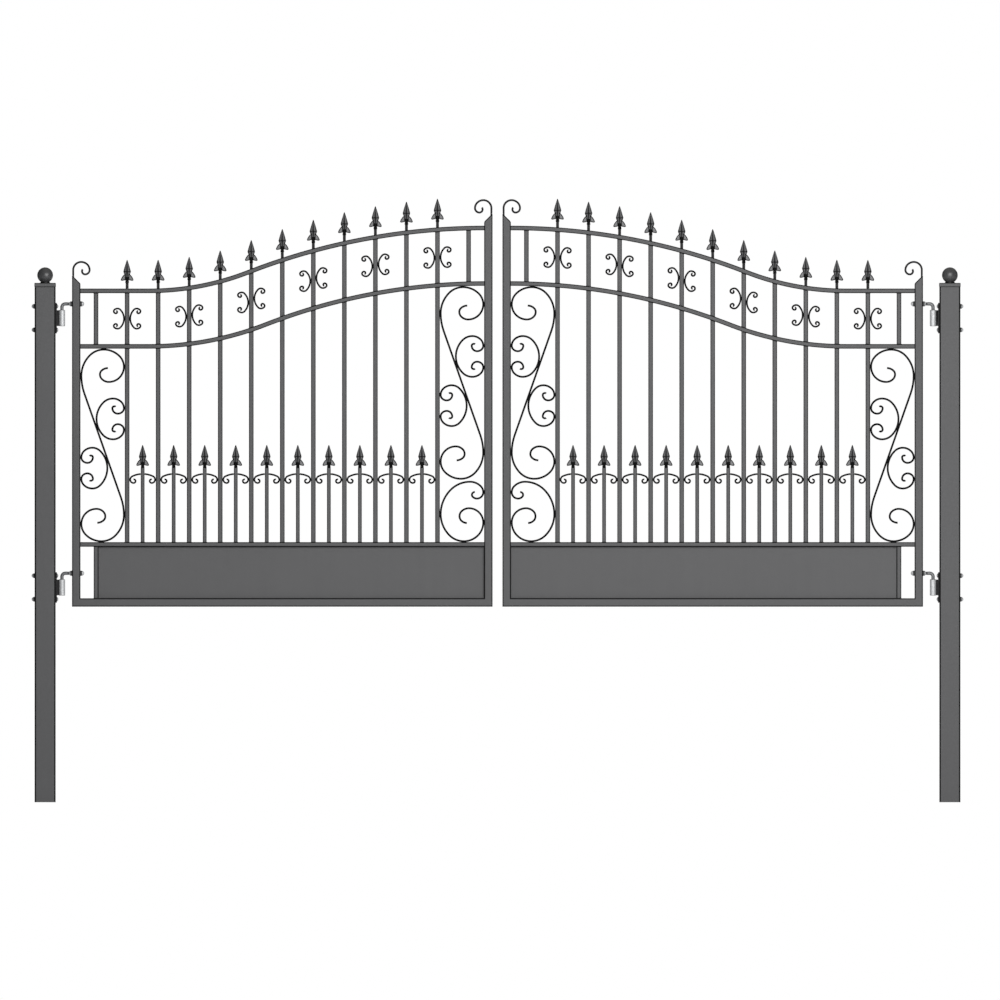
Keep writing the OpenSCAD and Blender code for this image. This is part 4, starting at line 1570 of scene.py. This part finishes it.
@dataclass
class Welds:
    """Fillet welds where bars meet rails, and beads along the plates and the sheet."""

    leg: float = 2.6
    sunk: float = 0.3
    lift: float = 0.2
    corner_reach: float = 1.3
    ripple: float = 4.0
    end_size: float = 0.4
    sheet_bead: float = 1.8
    sheet_gap: float = 0.6
    hinge_bead: float = 2.0
    hinge_gap: float = 3.0
    web_half: float = 6.0
    plate_t: float = 6.2
    barrel_touch: float = 1.2
    seed: int = 7

    def collar(self, bm: BMesh, solid: Solid, top: bool) -> None:
        """Adds a fillet round one end of an upright bar.

        Args:
            bm: The mesh that takes the weld.
            solid: The bar.
            top: Whether it is the bar's upper end.
        """
        left, right = solid.end_heights(top)
        half = solid.size.x / 2
        slope = (right - left) / (2 * half)
        away = -1 if top else 1
        loops = []
        part = new_mesh()
        for out, up in ((self.leg, 0.0), (0.3 * self.leg, 0.45 * self.leg), (-self.sunk, self.leg)):
            made = bmesh.ops.create_circle(part, cap_ends=False, segments=16, radius=1.0)["verts"]
            for vert in made:
                angle = math.atan2(vert.co.y, vert.co.x)
                reach = (half + out) / max(abs(math.cos(angle)), abs(math.sin(angle)))
                reach = min(reach, (half + out) * self.corner_reach)
                vert.co = Vector((reach * math.cos(angle), reach * math.sin(angle), 0))
                vert.co.z = slope * vert.co.x + away * (up - self.lift)
            loops.append([e for e in part.edges if all(v in made for v in e.verts)])
        for first, second in zip(loops, loops[1:]):
            bmesh.ops.bridge_loops(part, edges=first + second)
        for rim in (loops[0], loops[-1]):
            bmesh.ops.holes_fill(part, edges=rim, sides=0)
        bmesh.ops.recalc_face_normals(part, faces=part.faces)
        stamp(bm, part, Matrix.Translation((solid.centre.x, 0, (left + right) / 2)))
        part.free()

    def seam(self, bm: BMesh, start: Vector, end: Vector, radius: float) -> None:
        """Adds a rippled bead from one point to another.

        Args:
            bm: The mesh that takes the bead.
            start: Its first point.
            end: Its last point.
            radius: Half of its thickness.
        """
        draw = random.Random(self.seed + round(start.z))
        length = (end - start).length
        steps = max(2, round(length / self.ripple))
        part = new_mesh()
        bmesh.ops.create_circle(part, cap_ends=True, segments=8, radius=radius * self.end_size)
        geom = part.faces[:] + part.edges[:] + part.verts[:]
        before = self.end_size
        for k in range(1, steps + 1):
            size = self.end_size
            if k < steps:
                size = (1.0 if k % 2 else 0.82) * draw.uniform(0.94, 1.06)
            geom = bmesh.ops.extrude_face_region(part, geom=geom)["geom"]
            verts = [v for v in geom if isinstance(v, BMVert)]
            bmesh.ops.translate(part, vec=Vector((0, 0, length / steps)), verts=verts)
            bmesh.ops.scale(part, vec=Vector((size / before, size / before, 1)), verts=verts)
            before = size
        bmesh.ops.recalc_face_normals(part, faces=part.faces)
        turn = AXIS_Z.rotation_difference(end - start).to_matrix().to_4x4()
        stamp(bm, part, Matrix.Translation(start) @ turn)
        part.free()

    def leaf(self, shop: Shop, side: Side) -> None:
        """Welds of one leaf.

        Args:
            shop: Makes the pieces.
            side: The leaf.
        """
        bm = new_mesh()
        for name in ("lower_bars", "band_bars", "band_uprights", "panel_upright"):
            for solid in solids(side.node(name)):
                self.collar(bm, solid, top=False)
                self.collar(bm, solid, top=True)
        for solid in solids(side.node("short_bars")):
            self.collar(bm, solid, top=False)
        shop.piece(bm, side.node("bar_welds"), side.body, [], shop.palette.weld)
        self.sheet(shop, side)

    def sheet(self, shop: Shop, side: Side) -> None:
        """Beads round the kick panel's sheet, front and back.

        Args:
            shop: Makes the pieces.
            side: The leaf.
        """
        bm = new_mesh()
        low, high = (TO_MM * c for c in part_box(side.node("kick_panel")))
        corners = [(low.x, low.z), (high.x, low.z), (high.x, high.z), (low.x, high.z)]
        for y in (low.y - self.sheet_gap, high.y + self.sheet_gap):
            for (x0, z0), (x1, z1) in zip(corners, corners[1:] + corners[:1]):
                self.seam(bm, Vector((x0, y, z0)), Vector((x1, y, z1)), self.sheet_bead)
        shop.piece(bm, side.node("sheet_welds"), side.body, [], shop.palette.weld)

    def posts(self, shop: Shop) -> None:
        """Beads that hold the webs to the plates and the barrels.

        Args:
            shop: Makes the pieces.
        """
        bm = new_mesh()
        plates = solids("hinge_plates")
        for barrel in solids("hinge_barrels"):
            plate = min(plates, key=lambda p: (p.centre - barrel.centre).length)
            inward = -math.copysign(1, plate.centre.x)
            face_x = (plate.low.x if inward > 0 else plate.high.x) + inward * self.plate_t
            touch_x = barrel.centre.x - inward * (barrel.size.x / 2 - self.barrel_touch)
            z0, z1 = barrel.low.z + self.hinge_gap, barrel.high.z - self.hinge_gap
            for y in (-self.web_half, self.web_half):
                for x in (face_x, touch_x):
                    self.seam(bm, Vector((x, y, z0)), Vector((x, y, z1)), self.hinge_bead)
        shop.piece(bm, "hinge_welds", "posts", [], shop.palette.weld)


# ---------------------------------------------------------------- studio


@dataclass
class Studio:
    """A white studio: a pale floor, soft lights and a camera square to the gate's front."""

    view_w: float = 4.756
    view_x: float = 0.0119
    view_z: float = 1.4374
    distance: float = 12.0
    far: float = 200.0
    floor_side: float = 60.0
    floor_gap: float = 0.002
    sky_light: float = 0.16
    sky_gleam: float = 0.08

    def build(self) -> None:
        """Sets the camera, the lights, the floor and the sky."""
        self.camera()
        self.floor()
        self.sky()
        self.softbox("key", (2.2, -10.0, 4.4), (8.0, 6.0), 830.0)
        self.softbox("back", (0.5, 9.0, 5.0), (6.0, 4.0), 420.0).visible_glossy = False

    def camera(self) -> None:
        """A square-on camera with no perspective."""
        data = bpy.data.cameras.new("camera")
        data.type = "ORTHO"
        data.ortho_scale = self.view_w
        data.clip_end = self.far
        made = bpy.data.objects.new("camera", data)
        made.location = (self.view_x, -self.distance, self.view_z)
        made.rotation_euler = (math.pi / 2, 0, 0)
        bpy.context.scene.collection.objects.link(made)
        bpy.context.scene.camera = made

    def floor(self) -> None:
        """A plain pale floor under the posts' feet."""
        bm = new_mesh()
        bmesh.ops.create_grid(bm, x_segments=2, y_segments=2, size=self.floor_side / 2)
        bmesh.ops.translate(bm, vec=Vector((0, 0, -self.floor_gap)), verts=bm.verts)
        mesh = bpy.data.meshes.new("floor")
        bm.to_mesh(mesh)
        bm.free()
        graph = Graph(bpy.data.materials.new("pale_floor"))
        tint = graph.blend(graph.noise(graph.place(), 0.6), (0.80, 0.80, 0.80, 1.0), (0.84, 0.84, 0.84, 1.0))
        mesh.materials.append(graph.surface({"Base Color": tint, "Roughness": 0.9}))
        made = bpy.data.objects.new("floor", mesh)
        bpy.context.scene.collection.objects.link(made)

    def sky(self) -> None:
        """A sky that is white to look at and dimmer as a light."""
        world = bpy.data.worlds.new("sky")
        g = Graph(world)
        seen, lit, mirrored = (
            g.node("ShaderNodeBackground", {}, {"Color": colour, "Strength": strength})
            for colour, strength in (
                (WHITE, 1.0), ((0.95, 0.97, 1.0, 1.0), self.sky_light), (WHITE, self.sky_gleam),
            )
        )
        glossy = g.node("ShaderNodeLightPath", {}, {}, "Is Glossy Ray")
        direct = g.node("ShaderNodeLightPath", {}, {}, "Is Camera Ray")
        unseen = g.node("ShaderNodeMixShader", {}, {0: glossy, 1: lit, 2: mirrored})
        mix = g.node("ShaderNodeMixShader", {}, {0: direct, 1: unseen, 2: seen})
        g.node("ShaderNodeOutputWorld", {}, {"Surface": mix}, None)
        bpy.context.scene.world = world
        bpy.context.scene.view_settings.view_transform = "Standard"

    def softbox(
        self, name: str, at: Sequence[float], size: tuple[float, float], watts: float,
    ) -> bpy.types.Object:
        """A large soft light that points at the gate's middle.

        Args:
            name: The light's name.
            at: Where it hangs, in metres.
            size: Its width and height in metres.
            watts: Its power.

        Returns:
            The light.
        """
        data = bpy.data.lights.new(name, "AREA")
        data.shape = "RECTANGLE"
        data.size, data.size_y = size
        data.energy = watts
        made = bpy.data.objects.new(name, data)
        made.location = at
        aim = Vector((0, 0, self.view_z)) - Vector(at)
        made.rotation_euler = aim.to_track_quat("-Z", "Y").to_euler()
        bpy.context.scene.collection.objects.link(made)
        return made


def main() -> None:
    """Builds the studio and every sub-assembly round the frame."""
    logging.basicConfig(level=logging.INFO, format="%(name)s: %(message)s")
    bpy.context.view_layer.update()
    Studio().build()
    shop = Shop(Palette())
    Posts().build(shop)
    Hinges().build(shop)
    Welds().posts(shop)
    for side in Side:
        LeafFrame().build(shop, side)
        Spears().build(shop, side)
        Scrollwork().build(shop, side)
        Welds().leaf(shop, side)


if __name__ == "__main__":
    main()
